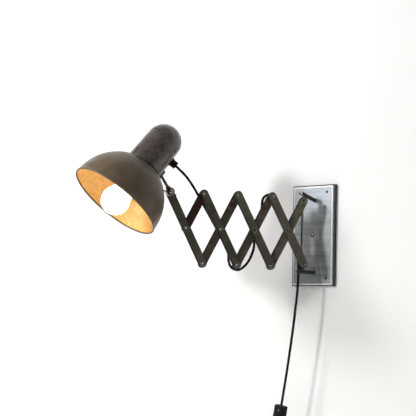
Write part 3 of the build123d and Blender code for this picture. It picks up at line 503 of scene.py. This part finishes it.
# %% Dull nickel, turned steel and blackened steel
def worn_metal(name, dark, light, roughness, patch=0.004, metallic=0.95):
    """Plain metal with dull patches and fine pits."""
    made, place = finish(name, roughness, metallic)
    patches = mottle(made, place, patch, 5.0, 0.6)
    pits = mottle(made, place, patch / 9, 2.0)
    base = tones(made, patches, ((0.3, dark), (0.68, light)))
    base = over(made, base, tones(made, pits, ((0.3, (0.55,)), (0.42, (1,)))), 0.5, "MULTIPLY")
    rough = tones(made, patches, ((0.3, (roughness + 0.16,)), (0.7, (roughness - 0.06,))))
    give(made, Base_Color=base, Roughness=rough)
    return relief(made, pits, 0.00002)


nickel = worn_metal("dull_nickel", (0.2, 0.19, 0.17), (0.46, 0.445, 0.42), 0.26)
rivet_metal = worn_metal("rivet_steel", (0.22, 0.205, 0.18), (0.46, 0.44, 0.4), 0.36, 0.0025)
bright_steel = worn_metal("bright_steel", (0.45, 0.44, 0.41), (0.7, 0.69, 0.66), 0.2, 0.003)
# Near-black for the insides of rivet bores and the flanks of their heads: painted shade.
bore_shade = worn_metal("rivet_bore_painted_shade", (0.02, 0.018, 0.015), (0.06, 0.052, 0.045), 0.6, 0.002, 0.4)
blackened = worn_metal("blackened_steel", (0.02, 0.02, 0.021), (0.055, 0.055, 0.058), 0.38, 0.005, 0.6)
blued = worn_metal("blued_steel", (0.05, 0.058, 0.12), (0.14, 0.15, 0.24), 0.3, 0.003)
brass = worn_metal("dull_brass", (0.42, 0.3, 0.13), (0.62, 0.46, 0.21), 0.3, 0.003)
aluminium = worn_metal("bulb_aluminium", (0.5, 0.5, 0.48), (0.68, 0.68, 0.66), 0.3, 0.003)

# %% [markdown]
# ### Paint
# The bars are painted a grey-brown that has gone a little green, flat on the face; their flanks are
# given near-black as painted shade. One rear bar has rusted all over, and the upper ends of the others
# have begun to. The rust is a second colour laid over the first by a mask of noise, so its edge is
# broken and not drawn.

# %% Paint of the bars
def bar_paint(name, rust=0.0, rust_above=None, warm=(1, 1, 1)):
    """Worn grey-brown paint; rust covers a share of it, or only what lies above a height."""
    made, place = finish(name, 0.42, 0.0, Specular_IOR_Level=0.42)
    clouds = mottle(made, place, 0.022, 5.0, 0.6)
    grit = mottle(made, place, 0.0012, 3.0, 0.6)
    chips = mottle(made, place, 0.006, 8.0, 0.7, 0.6)
    base = tones(made, clouds, ((0.3, (0.078 * warm[0], 0.068 * warm[1], 0.05 * warm[2])),
                                (0.7, (0.135 * warm[0], 0.122 * warm[1], 0.094 * warm[2]))))
    base = over(made, base, tones(made, grit, ((0.35, (0.7,)), (0.6, (1,)))), 0.6, "MULTIPLY")
    base = over(made, base, (0.15, 0.14, 0.115), tones(made, chips, ((0.69, (0,)), (0.76, (0.6,)))))
    if rust:
        patches = mottle(made, place, 0.008, 7.0, 0.65, 0.4)
        brown = tones(made, mottle(made, place, 0.0035, 6.0, 0.7),
                      ((0.3, (0.024, 0.012, 0.01)), (0.55, (0.062, 0.02, 0.015)),
                       (0.75, (0.12, 0.035, 0.022))))
        edge = 0.75 - 0.5 * rust
        mask = tones(made, patches, ((max(edge - 0.12, 0), (0,)), (edge + 0.02, (1,))))
        if rust_above is not None:
            height = made.node_tree.nodes.new("ShaderNodeSeparateXYZ")
            made.node_tree.links.new(place, height.inputs[0])
            span = made.node_tree.nodes.new("ShaderNodeMapRange")
            span.inputs["From Min"].default_value = rust_above - 0.012
            span.inputs["From Max"].default_value = rust_above + 0.02
            made.node_tree.links.new(height.outputs["Z"], span.inputs["Value"])
            mask = over(made, (0.0, 0.0, 0.0), mask, span.outputs[0])
        base = over(made, base, brown, mask)
        give(made, Roughness=tones(made, patches, ((0.4, (0.45,)), (0.6, (0.75,)))))
    else:
        give(made, Roughness=tones(made, clouds, ((0.3, (0.5,)), (0.7, (0.36,)))))
    give(made, Base_Color=base)
    return relief(made, grit, 0.00005)


front_paint = bar_paint("bar_paint")
rusted_paint = bar_paint("rusted_bar_paint", rust=0.85)
rust_flecked = bar_paint("flecked_bar_paint", rust=0.42, rust_above=0.03, warm=(1.1, 1.0, 0.92))
wall_bar_paint = bar_paint("wall_bar_paint", rust=0.2, rust_above=0.0, warm=(1.25, 1.22, 1.15))

# %% Black paint
def black_paint(name, deep, worn, roughness, coat=0.0):
    """Satin black, dustier in patches and worn grey in a few specks."""
    made, place = finish(name, roughness, 0.0, Coat_Weight=coat, Coat_Roughness=0.2)
    dust = mottle(made, place, 0.012, 5.0, 0.6)
    specks = mottle(made, place, 0.002, 6.0, 0.7)
    base = tones(made, dust, ((0.3, deep), (0.75, worn)))
    base = over(made, base, (0.12, 0.115, 0.105), tones(made, specks, ((0.72, (0,)), (0.8, (0.5,)))))
    rough = tones(made, dust, ((0.3, (roughness,)), (0.7, (roughness + 0.16,))))
    give(made, Base_Color=base, Roughness=rough)
    return relief(made, specks, 0.00003)


# Near-black for the bars' flanks and bends and a strip along one edge of their faces: painted shade.
flank_shade = black_paint("flank_shade", (0.006, 0.006, 0.005), (0.013, 0.012, 0.01), 0.62)
box_black = black_paint("box_black", (0.012, 0.013, 0.013), (0.03, 0.031, 0.03), 0.4)
leg_black = black_paint("leg_black", (0.008, 0.008, 0.009), (0.02, 0.02, 0.02), 0.32, 0.3)

# %% [markdown]
# ### Enamel, plastic and rubber
# The bowl is satin enamel, olive and lightened on the left, and darker and browner towards its neck and
# its right: the lightening and darkening are painted light and shade, and the brown by the neck is the
# enamel's own. It has rubs that catch the light. Its inside is a pale lacquer, mottled, with a warm
# orange colour and a glow of its own that are painted light from the bulb. The cap is dark moulded
# plastic, glossy and full of fine scuffs, which are thin ridges of noise. The flex has the faint skin
# of drawn rubber.

# %% Enamel of the bowl, outside and in
def bowl_enamel():
    """Olive-brown satin enamel, browner up its neck, with painted light on its left and painted shade towards
    its right.
    """
    made, place = finish("bowl_enamel", 0.42, 0.0, Specular_IOR_Level=0.32)
    clouds = mottle(made, place, 0.045, 4.0, 0.55)
    fine = mottle(made, place, 0.0015, 3.0)
    rubs = mottle(made, stretched(made, place, (30, 90, 60), (0.4, 0.7, 0.2)), 1.0, 5.0, 0.6, 0.5)
    base = tones(made, clouds, ((0.3, (0.1, 0.074, 0.045)), (0.7, (0.15, 0.12, 0.08))))
    # Lighter on the left and darker towards the neck and the right: painted light and shade across the bowl.
    across = made.node_tree.nodes.new("ShaderNodeVectorMath")
    across.operation = "DOT_PRODUCT"
    shade_and_neck_way = head_crown * 0.9 + Vector((0.62, 0.1, -0.1))
    across.inputs[1].default_value = shade_and_neck_way
    made.node_tree.links.new(place, across.inputs[0])
    middle = head_origin.dot(shade_and_neck_way)
    span = made.node_tree.nodes.new("ShaderNodeMapRange")
    span.inputs["From Min"].default_value = middle - 0.02
    span.inputs["From Max"].default_value = middle + 0.12
    made.node_tree.links.new(across.outputs["Value"], span.inputs["Value"])
    painted_shade_tint = tones(made, span.outputs[0], ((0.0, (1.1, 1.06, 1.08)), (0.5, (1.1, 1.05, 1.04)),
                                         (1.0, (0.55, 0.45, 0.4))))
    base = over(made, base, painted_shade_tint, 1.0, "MULTIPLY")
    base = over(made, base, (0.2, 0.18, 0.17), tones(made, rubs, ((0.62, (0,)), (0.8, (0.4,)))))
    base = over(made, base, tones(made, fine, ((0.3, (0.85,)), (0.6, (1,)))), 0.7, "MULTIPLY")
    give(made, Base_Color=base, Roughness=tones(made, rubs, ((0.4, (0.46,)), (0.75, (0.3,)))))
    return relief(made, fine, 0.00003)


def painted_glow_lacquer():
    """Lacquer inside the bowl, mottled, with a warm orange colour and a glow of its own as painted light from
    the bulb.
    """
    made, place = finish("painted_glow_lacquer", 0.55, 0.0, Emission_Strength=0.2)
    clouds = mottle(made, place, 0.014, 6.0, 0.7)
    spots = mottle(made, place, 0.0045, 6.0, 0.75)
    base = tones(made, clouds, ((0.28, (0.66, 0.34, 0.095)), (0.5, (0.76, 0.44, 0.135)),
                                (0.75, (0.84, 0.56, 0.22))))
    base = over(made, base, (0.6, 0.27, 0.06), tones(made, spots, ((0.5, (0,)), (0.66, (0.75,)))))
    # The warm orange and its emission are painted light from the bulb.
    give(made, Base_Color=base, Emission_Color=base)
    return relief(made, spots, 0.00006)


enamel, inside_glow_lacquer = bowl_enamel(), painted_glow_lacquer()

# %% Scuffed cap
def scuffed_cap():
    """Dark brown moulded plastic, glossy, with pale scuffs."""
    made, place = finish("scuffed_cap", 0.3, 0.0, Specular_IOR_Level=0.45,
                         Coat_Weight=0.3, Coat_Roughness=0.1)
    clouds = mottle(made, place, 0.02, 5.0, 0.6)
    lines = mottle(made, stretched(made, place, (60, 60, 130), (0.5, 0.9, 0.1)), 1.0, 7.0, 0.62, 1.2)
    ridge = made.node_tree.nodes.new("ShaderNodeMath")
    ridge.operation = "PINGPONG"
    ridge.inputs[1].default_value = 0.5
    made.node_tree.links.new(lines, ridge.inputs[0])
    where = mottle(made, place, 0.03, 3.0)
    base = tones(made, clouds, ((0.3, (0.05, 0.038, 0.034)), (0.7, (0.12, 0.103, 0.096))))
    scuffs = over(made, (0.0, 0.0, 0.0), tones(made, ridge.outputs[0], ((0.48, (0,)), (0.499, (0.9,)))),
                  tones(made, where, ((0.45, (0,)), (0.62, (0.6,)))))
    base = over(made, base, (0.3, 0.29, 0.28), scuffs)
    give(made, Base_Color=base, Roughness=tones(made, clouds, ((0.3, (0.2,)), (0.7, (0.42,)))))
    return relief(made, clouds, 0.00006)


cap_plastic = scuffed_cap()

# %% Rubber, switch plastic, holder and bulb
def moulded(name, deep, light, roughness, grain=0.0007, depth=0.00005):
    """Plain moulded rubber or plastic with a fine even grain."""
    made, place = finish(name, roughness, 0.0, Specular_IOR_Level=0.1)
    dust = mottle(made, place, 0.01, 4.0)
    fine = mottle(made, place, grain, 2.0)
    give(made, Base_Color=tones(made, dust, ((0.3, deep), (0.75, light))),
         Roughness=tones(made, fine, ((0.3, (roughness - 0.05,)), (0.7, (roughness + 0.12,)))))
    return relief(made, fine, depth)


flex_rubber = moulded("flex_rubber", (0.008, 0.008, 0.008), (0.017, 0.016, 0.016), 0.48)
grommet_rubber = moulded("grommet_rubber", (0.007, 0.007, 0.008), (0.016, 0.016, 0.016), 0.55)
switch_plastic = moulded("switch_plastic", (0.006, 0.006, 0.007), (0.012, 0.012, 0.013), 0.42, 0.0005)
rocker_plastic = moulded("rocker_plastic", (0.02, 0.02, 0.021), (0.035, 0.035, 0.036), 0.28, 0.0004, 0.00002)
holder_plastic = moulded("holder_plastic", (0.022, 0.02, 0.018), (0.04, 0.036, 0.033), 0.3, 0.0006)
tie_plastic = moulded("tie_plastic", (0.02, 0.02, 0.02), (0.04, 0.04, 0.04), 0.4, 0.0012)
opal_glass = moulded("opal_glass", (0.93, 0.92, 0.88), (0.96, 0.955, 0.93), 0.16, 0.002, 0.00001)
shader = opal_glass.node_tree.nodes["Principled BSDF"]
shader.inputs["Emission Color"].default_value = (1.0, 0.97, 0.9, 1)
shader.inputs["Emission Strength"].default_value = 1.6
for piece in flex_pieces:
    piece.data.materials.clear()
    piece.data.materials.append(flex_rubber)
print(len(bpy.data.materials), "materials so far")

# %% [markdown]
# ## Dressing the measured solids
# Most pieces of the lamp are small and exact: bars, rivets, rods and screws. Their measured solids
# are already the right shape, but their edges are mathematically sharp, and no real edge is. So each
# is copied, its loose triangles are joined, its flat faces are made whole again, and its sharp
# edges are eased by a narrow bevel that catches the light. A piece may have more than one finish,
# and then a small rule says which face gets which.

# %% Copy, ease the edges, and give the finishes
def dress(node, *finishes, ease=0.0, rule=None, cuts=(), angle=32):
    """A shown copy of a measured solid, with eased edges, its own finishes and any cuts they need."""
    source = nodes[node]
    piece = bpy.data.objects.new(f"{node}_finished", source.data.copy())
    bpy.context.scene.collection.objects.link(piece)
    piece.data.name = piece.name
    piece.data.materials.clear()
    for material in finishes:
        piece.data.materials.append(material)
    take(piece)
    bpy.ops.mesh.customdata_custom_splitnormals_clear()
    bpy.ops.object.mode_set(mode="EDIT")
    bpy.ops.mesh.select_all(action="SELECT")
    bpy.ops.mesh.remove_doubles(threshold=0.000002)
    bpy.ops.mesh.dissolve_limited(angle_limit=radians(0.2))
    for place, way in cuts:
        bpy.ops.mesh.select_all(action="SELECT")
        bpy.ops.mesh.bisect(plane_co=place, plane_no=way)
    bpy.ops.object.mode_set(mode="OBJECT")
    if ease:
        add_modifier(piece, "BEVEL", width=ease, segments=2, limit_method="ANGLE", angle_limit=radians(40))
    for face in piece.data.polygons:
        face.material_index = rule(face) if rule else 0
    smooth(piece, angle)
    add_modifier(piece, "WEIGHTED_NORMAL", keep_sharp=True)
    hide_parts(node)
    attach(piece, source["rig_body"])
    return piece


# %% [markdown]
# ## Wall plate and guide bracket
# The plate is a shallow black box with a brushed face on it. The face has a bevel round its edge,
# painted lighter than the field as a highlight, and a thin engraved line whose floor is painted
# near-black as shade. A small screw holds the face at its middle.
# Two black legs carry the nickel rod that the arm slides on.

# %% The plate
# Near-black for the floors of grooves: painted shade.
groove_shade = black_paint("painted_groove_shade", (0.02, 0.02, 0.02), (0.05, 0.05, 0.05), 0.6)


# A lighter finish for the border round the face: a painted highlight on its bevel.
border_highlight = worn_metal("painted_highlight_border", (0.62, 0.64, 0.65), (0.8, 0.82, 0.84), 0.3, 0.006, 0.35)


def plate_zone(face):
    """0 on the brushed field, 1 in the engraved line, painted dark as shade, 2 on the border outside it,
    painted lighter as a highlight.
    """
    across, up_down = abs(face.center.x), abs(face.center.z)
    if -0.00895 < face.center.y < -0.0085 and across < 0.0442 and up_down < 0.0942:
        return 1
    return 2 if across > 0.0434 or up_down > 0.0934 else 0


corner_cuts = [(Vector((x, 0, 0)), Vector((1, 0, 0))) for x in (-0.0435, 0.0435)]
corner_cuts += [(Vector((0, 0, z)), Vector((0, 0, 1))) for z in (-0.0935, 0.0935)]
dress("backing_box", box_black, ease=0.0005)
dress("face_plate", plate_steel, groove_shade, border_highlight, rule=plate_zone, cuts=corner_cuts)

# %% The screw in the plate's middle
let_go()
bpy.ops.mesh.primitive_cylinder_add(vertices=48, radius=0.0037, depth=0.001, location=(0, -0.0094, 0),
                                    rotation=(pi / 2, 0, 0))
plate_screw = bpy.context.object
plate_screw.name = "plate_screw"
bpy.ops.object.transform_apply(location=True, rotation=True, scale=True)
bpy.ops.object.mode_set(mode="EDIT")
bpy.ops.mesh.select_all(action="DESELECT")
bpy.ops.object.mode_set(mode="OBJECT")
for face in plate_screw.data.polygons:
    face.select = face.normal.y < -0.9
bpy.ops.object.mode_set(mode="EDIT")
for narrower, deeper in ((0.0004, 0.0), (0.0009, -0.0007), (0.0002, 0.0), (0.0004, 0.0008), (0.0006, 0.0003)):
    bpy.ops.mesh.inset(thickness=narrower, depth=deeper)
bpy.ops.object.mode_set(mode="OBJECT")
plate_screw.data.materials.append(bright_steel)
plate_screw.data.materials.append(groove_shade)
# The sunken ring round the screw's head is painted near-black as shade.
for face in plate_screw.data.polygons:
    from_middle = Vector((face.center.x, face.center.z)).length
    face.material_index = int(0.0021 < from_middle < 0.0035)
smooth(plate_screw)
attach(plate_screw, "wall_bracket")

# %% Legs, rod and clip
for node in ("upper_leg", "lower_leg", "cord_clip"):
    dress(node, leg_black, ease=0.0002)
dress("leg_nuts", rivet_metal, ease=0.0002)
dress("guide_rod", nickel)
print("wall plate and bracket dressed")

# %% [markdown]
# ## Bars of the arm
# Each bar is a strip of sheet, pressed into a channel. Its face was painted. Its bent edges and flanks,
# and a narrow strip along one edge of its face, are given near-black as painted shade, which draws the
# lattice so crisply. So a face that looks straight out of the arm's front gets the paint, and the
# strip, the bend and the flanks get the painted shade. The bar nearest the head at the back is rusted
# all over, and the other rear bars only at their upper ends.

# %% The bars
# The width from a bar's middle line to where its strip of painted shade begins.
shade_strip = 0.0064
bar_ends = (*pair_s, 0)
bar_finish = {"rear_bar_1": rusted_paint, "rear_bar_2": rust_flecked, "rear_bar_3": rust_flecked,
              "rear_bar_4": wall_bar_paint}


def dress_bar(node, face_paint, first, last):
    """A bar from one pivot to another, its face painted but for a strip on one side given black as painted
    shade.
    """
    along = (last - first).normalized()
    across = along.cross(side)
    if across.dot(reach) < 0:
        across = -across

    def zone(face):
        beyond = (face.center - first).dot(across) > shade_strip
        return int(beyond or face.normal.dot(side) < 0.97)

    return dress(node, face_paint, flank_shade, rule=zone, cuts=[(first + across * shade_strip, across)])


for k in range(1, 5):
    high_end, low_end = on_arm(bar_ends[k - 1], 0, top_z), on_arm(bar_ends[k], 0, bottom_z)
    dress_bar(f"front_bar_{k}", front_paint, high_end, low_end)
for k in range(1, 5):
    high_end = on_arm(bar_ends[k], 0, top_z if k < 4 else slider_z)
    low_end = on_arm(bar_ends[k - 1], 0, bottom_z)
    dress_bar(f"rear_bar_{k}", bar_finish[f"rear_bar_{k}"], high_end, low_end)

# %% [markdown]
# ## Rivets and sliders
# A tubular rivet shows as a bright ring round a dark hole. The rings are turned steel; the faces
# within the bore and on the head's outer flank are painted nearly black as shade. A face's distance
# from the nearest pivot says which it is.

# %% The rivets
bore_radius, flank_radius = 0.0019, 0.0045
pivot_places = [(pair_s[k], z) for k in range(4) for z in (top_z, bottom_z)]
pivot_places += [((pair_s[k] + pair_s[k + 1]) / 2, 0.0025) for k in range(3)]
pivot_places += [(0.03078, 0.0025), (0, slider_z), (0, carrier_z)]


def gets_painted_shade(face):
    """A face inside a rivet's hole or on its flank, which gets painted shade, told by its distance from the
    nearest pivot.
    """
    from_foot = face.center - rod_foot
    s, z = from_foot.dot(reach), from_foot.z
    away = sqrt(min((s - at) ** 2 + (z - height) ** 2 for at, height in pivot_places))
    return int(away < bore_radius or away > flank_radius)


for k in range(1, 5):
    dress(f"front_rivets_{k}", rivet_metal, bore_shade, rule=gets_painted_shade)
for name in ("upper_slider", "lower_carrier"):
    dress(name, blackened, ease=0.00025)
    dress(f"{name}_rivet", rivet_metal, bore_shade, rule=gets_painted_shade)
print("arm dressed")

# %% [markdown]
# ## The clamped joint at the head
# The head's rod goes into a round knuckle, which a bolt clamps to the end of the first bar. Under
# the bolt's bright domed head lies a blued washer, and a wing nut behind the bar tightens it.

# %% Knuckle, bolt and wing nut
dress("knuckle", nickel, ease=0.0002)
dress("clamp_bolt", bright_steel, ease=0.0001)
dress("bolt_washer", blued, ease=0.0001)
dress("clamp_spacers", rivet_metal, ease=0.0001)
dress("wing_nut", nickel, ease=0.0005)
dress("head_rod", nickel)

# %% [markdown]
# ## Turned pieces
# The bowl, the cap and the bulb are round about the head's axis, so each is made as on a lathe: one
# ring of points is added, and then drawn upwards and resized again and again along an outline. The
# points at a pole or a seam fall on one another and are merged. The finished piece is then laid on
# the head's axis.

# %% The lathe
def turned(name, outline, points=112):
    """A round shell that follows an outline of (radius, height) about the head's axis."""
    let_go()
    radius, height = outline[0]
    bpy.ops.mesh.primitive_circle_add(vertices=points, radius=max(radius, 0.00001), location=(0, 0, 0))
    piece = bpy.context.object
    piece.name = name
    bpy.ops.object.mode_set(mode="EDIT")
    bpy.ops.mesh.select_all(action="SELECT")
    bpy.ops.transform.translate(value=(0, 0, height))
    for wide, tall in outline[1:]:
        share = max(wide, 0.00001) / max(radius, 0.00001)
        bpy.ops.mesh.extrude_region_move(TRANSFORM_OT_translate={"value": (0, 0, tall - height)})
        bpy.ops.transform.resize(value=(share, share, 1), center_override=(0, 0, tall))
        radius, height = wide, tall
    bpy.ops.mesh.select_all(action="SELECT")
    bpy.ops.mesh.remove_doubles(threshold=0.00003)
    bpy.ops.mesh.normals_make_consistent(inside=False)
    bpy.ops.object.mode_set(mode="OBJECT")
    return piece


def arc(radius, height, size, first, last, steps):
    """Points of an arc of an outline, its angles in degrees from straight out."""
    turns = [radians(first + (last - first) * k / steps) for k in range(steps + 1)]
    return [(radius + size * cos(t), height + size * sin(t)) for t in turns]


def lay_on_head(piece, *replaced):
    """Lays a turned piece on the head's axis and lets it move with the head."""
    piece.data.transform(head_place)
    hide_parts(*replaced)
    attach(piece, "head")


# %% [markdown]
# ### The bowl
# The bowl is spun from thin sheet, half an egg in section, with its rim rolled over a wire. The
# outline runs from the rim up the outside to the short neck, and down the inside back to the rim,
# so the sheet has its real thickness. The roll goes round the rim in the same outline.

# %% The bowl's outline
rim, full_height, sheet = 0.091, 0.0965, 0.001
neck_out = 0.03405
neck_up = 0.0975
lean_out = [radians(90 * k / 40) for k in range(41)]
outside = [(rim * cos(t), full_height * sin(t)) for t in lean_out if rim * cos(t) > neck_out + 0.0005]
inside = [((rim - sheet) * cos(t), (full_height - sheet) * sin(t)) for t in lean_out
          if (rim - sheet) * cos(t) > neck_out + 0.0005]
neck_foot = full_height * sqrt(1 - (neck_out / rim) ** 2)
roll = arc(rim - sheet / 2, 0, 0.0017, 120, 420, 26)
bowl_outline = [*inside[:0:-1], *roll, *outside[2:], (neck_out, neck_foot), (neck_out, neck_up),
                (neck_out - sheet, neck_up), (neck_out - sheet, neck_foot - 0.001)]
bowl_outline.append(bowl_outline[0])

# %% The bowl
bowl = turned("spun_bowl", bowl_outline, points=144)
bowl.data.materials.append(enamel)
bowl.data.materials.append(inside_glow_lacquer)
for face in bowl.data.polygons:
    looks_in = face.normal.dot(face.center) < 0
    from_rim = ((Vector((face.center.x, face.center.y)).length - rim) ** 2 + face.center.z**2) ** 0.5
    face.material_index = int(looks_in and from_rim > 0.0026)
smooth(bowl, 50)
lay_on_head(bowl, "shade")
print("bowl faces", len(bowl.data.polygons))

# %% [markdown]
# ### The cap
# The cap is a moulded thimble over the lampholder: a slightly tapered wall and a round crown. Its
# foot has a small round edge that catches a line of light just above the bowl.

# %% The cap
cap_foot, cap_wide, cap_narrow, cap_straight, cap_wall = 0.08944, 0.0366, 0.0346, 0.064, 0.0022
shoulder = cap_foot + cap_straight
cap_outline = [(cap_wide - cap_wall, cap_foot), (cap_wide - 0.0006, cap_foot),
               *arc(cap_wide - 0.0006, cap_foot + 0.0006, 0.0006, -60, 0, 3)]
cap_outline += [(cap_wide - (cap_wide - cap_narrow) * k / 8, cap_foot + cap_straight * k / 8)
                for k in range(1, 8)]
cap_outline += arc(0, shoulder, cap_narrow, 0, 90, 22)
cap_outline += arc(0, shoulder, cap_narrow - cap_wall, 90, 0, 16)
cap_outline.append(cap_outline[0])
cap = turned("domed_cap", cap_outline)
cap.data.materials.append(cap_plastic)
smooth(cap, 40)

# %% Its hole for the grommet
let_go()
bpy.ops.mesh.primitive_cylinder_add(vertices=48, radius=0.0049, depth=0.03, location=(0.0355, 0, 0.133),
                                    rotation=(0, pi / 2, 0))
drill = bpy.context.object
add_modifier(cap, "BOOLEAN", object=drill, operation="DIFFERENCE", solver="EXACT")
bpy.data.objects.remove(drill)
lay_on_head(cap, "dome_cap")
print("cap faces", len(cap.data.polygons))

# %% [markdown]
# ### Bracket, screws and grommet
# A slim nickel bracket holds the head's rod against the cap, with a bright screw at each end. The
# flex leaves the cap through a ribbed rubber grommet.

# %% Bracket, screws and grommet
dress("rod_bracket", nickel, ease=0.0004)
dress("bracket_screws", bright_steel, ease=0.0003)
dress("cord_grommet", grommet_rubber, ease=0.0003)

# %% [markdown]
# ### The bulb
# An opal bulb is a thin glass globe with a waist that narrows to the cap. It shines softly of itself,
# and lights the inside of the bowl, whose lacquer also has a painted glow of its own.

# %% The bulb
globe, globe_height, glass_wall = 0.0275, 0.002, 0.0009
glass_neck, glass_end = 0.0145, 0.047
join = 34
globe_arc = arc(0, globe_height, globe, -90, join, 30)
join_out, join_up = globe_arc[-1]
waist = [(join_out + (glass_neck - join_out) * (3 * t**2 - 2 * t**3) ** 0.8,
          join_up + (glass_end - join_up) * t)
         for t in (k / 12 for k in range(1, 13))]
bulb_outline = [*globe_arc, *waist, (glass_neck - 0.0018, glass_end),
                (glass_neck - 0.0018, glass_end - 0.0018),
                *[(max(r - glass_wall, 0.00001), h) for r, h in waist[-2::-1]],
                *[(max(r - glass_wall * cos(radians(30)), 0.00001), h + 0.0003)
                  for r, h in globe_arc[-2:3:-1]],
                (0.00001, globe_height - globe + glass_wall)]
bulb = turned("opal_bulb", bulb_outline, points=80)
bulb.data.materials.append(opal_glass)
smooth(bulb, 60)
lay_on_head(bulb, "bulb_glass")
print("bulb faces", len(bulb.data.polygons))

# %% The lampholder and what is in it
dress("bulb_base", aluminium)
dress("lampholder", holder_plastic, ease=0.0004)
dress("lampholder_contacts", brass)
dress("holder_disc", rivet_metal, ease=0.0002)
dress("nipple", rivet_metal, ease=0.0002)

# %% [markdown]
# ## Switch and plug
# The switch is two halves of black moulding with a rocker between their screws. The plug and its
# ribbed boot hang from the coil, which a strap ties.

# %% Switch, plug and tie
switch_pieces = [dress("switch_front", switch_plastic, ease=0.0004),
                 dress("switch_back", switch_plastic, ease=0.0004),
                 dress("switch_rocker", rocker_plastic, ease=0.0003), dress("switch_screws", rivet_metal)]
plug_pieces = [dress("plug_boot", grommet_rubber, ease=0.0002),
               dress("plug_body", switch_plastic, ease=0.0005),
               dress("plug_pins", brass), dress("coil_tie", tie_plastic, ease=0.0004)]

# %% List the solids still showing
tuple(hang[0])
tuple(below_route[0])
left_plain = [name for name, node in nodes.items() if node.get("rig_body") and not node.hide_render]
print("solids still showing:", left_plain)

# %% [markdown]
# ## Wall, floor and light
# The lamp hangs on a plain white wall over a pale floor. One soft lamp stands high on the left
# and a second one nearer the front, where the head's shadow in the photograph points back to. A
# background that should be pure white isn't made by more light, which would also bleach the lamp:
# the wall gives a little light of its own, and only to the camera and to reflections.

# %% The wall and the floor
def stage_white(name, glow):
    """A white that still shows shadows and reaches pure white where none falls."""
    material = bpy.data.materials.new(name)
    material.use_nodes = True
    tree = material.node_tree
    shader = tree.nodes["Principled BSDF"]
    shader.inputs["Base Color"].default_value = (0.93, 0.925, 0.91, 1)
    shader.inputs["Roughness"].default_value = 0.9
    shader.inputs["Specular IOR Level"].default_value = 0
    shader.inputs["Emission Color"].default_value = (1, 1, 1, 1)
    path = tree.nodes.new("ShaderNodeLightPath")
    seen = None
    for ray in ("Is Camera Ray", "Is Glossy Ray", "Is Transmission Ray"):
        if seen is None:
            seen = path.outputs[ray]
            continue
        either = tree.nodes.new("ShaderNodeMath")
        either.operation = "MAXIMUM"
        tree.links.new(seen, either.inputs[0])
        tree.links.new(path.outputs[ray], either.inputs[1])
        seen = either.outputs[0]
    strength = tree.nodes.new("ShaderNodeMath")
    strength.operation = "MULTIPLY"
    tree.links.new(seen, strength.inputs[0])
    strength.inputs[1].default_value = glow
    tree.links.new(strength.outputs[0], shader.inputs["Emission Strength"])
    return material


def stage_plane(name, size, place, turn, material):
    """One flat part of the stage."""
    let_go()
    bpy.ops.mesh.primitive_plane_add(size=size, location=place, rotation=turn)
    plane = bpy.context.object
    plane.name = name
    bpy.ops.object.transform_apply(location=True, rotation=True, scale=True)
    plane.data.materials.append(material)
    return plane


stage_span = 12
stage_glow = 0.02
floor_level = -0.65
wall_gap = 0.0005
stage_plane("stage_wall", stage_span, (0, wall_gap, floor_level + stage_span / 2), (pi / 2, 0, 0),
            stage_white("wall_white", stage_glow))
stage_plane("stage_floor", stage_span, (0, 0.001 - stage_span / 2, floor_level), (0, 0, 0),
            stage_white("floor_white", stage_glow))

# %% Lamps and the room's own light
lamp_distance = 2.4
lit_middle = Vector((-0.1, -0.2, 0))


def soft_lamp(name, towards, size, power):
    """A square lamp out along a direction, aimed at the middle of the wall lamp."""
    lamp = bpy.data.lights.new(name, "AREA")
    lamp.size = size
    lamp.energy = power
    made = bpy.data.objects.new(name, lamp)
    bpy.context.scene.collection.objects.link(made)
    made.location = lit_middle + Vector(towards).normalized() * lamp_distance
    made.rotation_mode = "QUATERNION"
    made.rotation_quaternion = Vector(towards).to_track_quat("Z", "Y")
    return made


soft_lamp("high_key", (-0.5, -0.72, 0.48), 0.45, 30)
soft_lamp("front_key", (-0.3, -0.9, 0.32), 0.34, 33)

room = bpy.data.worlds.new("room")
room.use_nodes = True
room.node_tree.nodes["Background"].inputs["Color"].default_value = (1, 1, 1, 1)
room.node_tree.nodes["Background"].inputs["Strength"].default_value = 0.035
bpy.context.scene.world = room
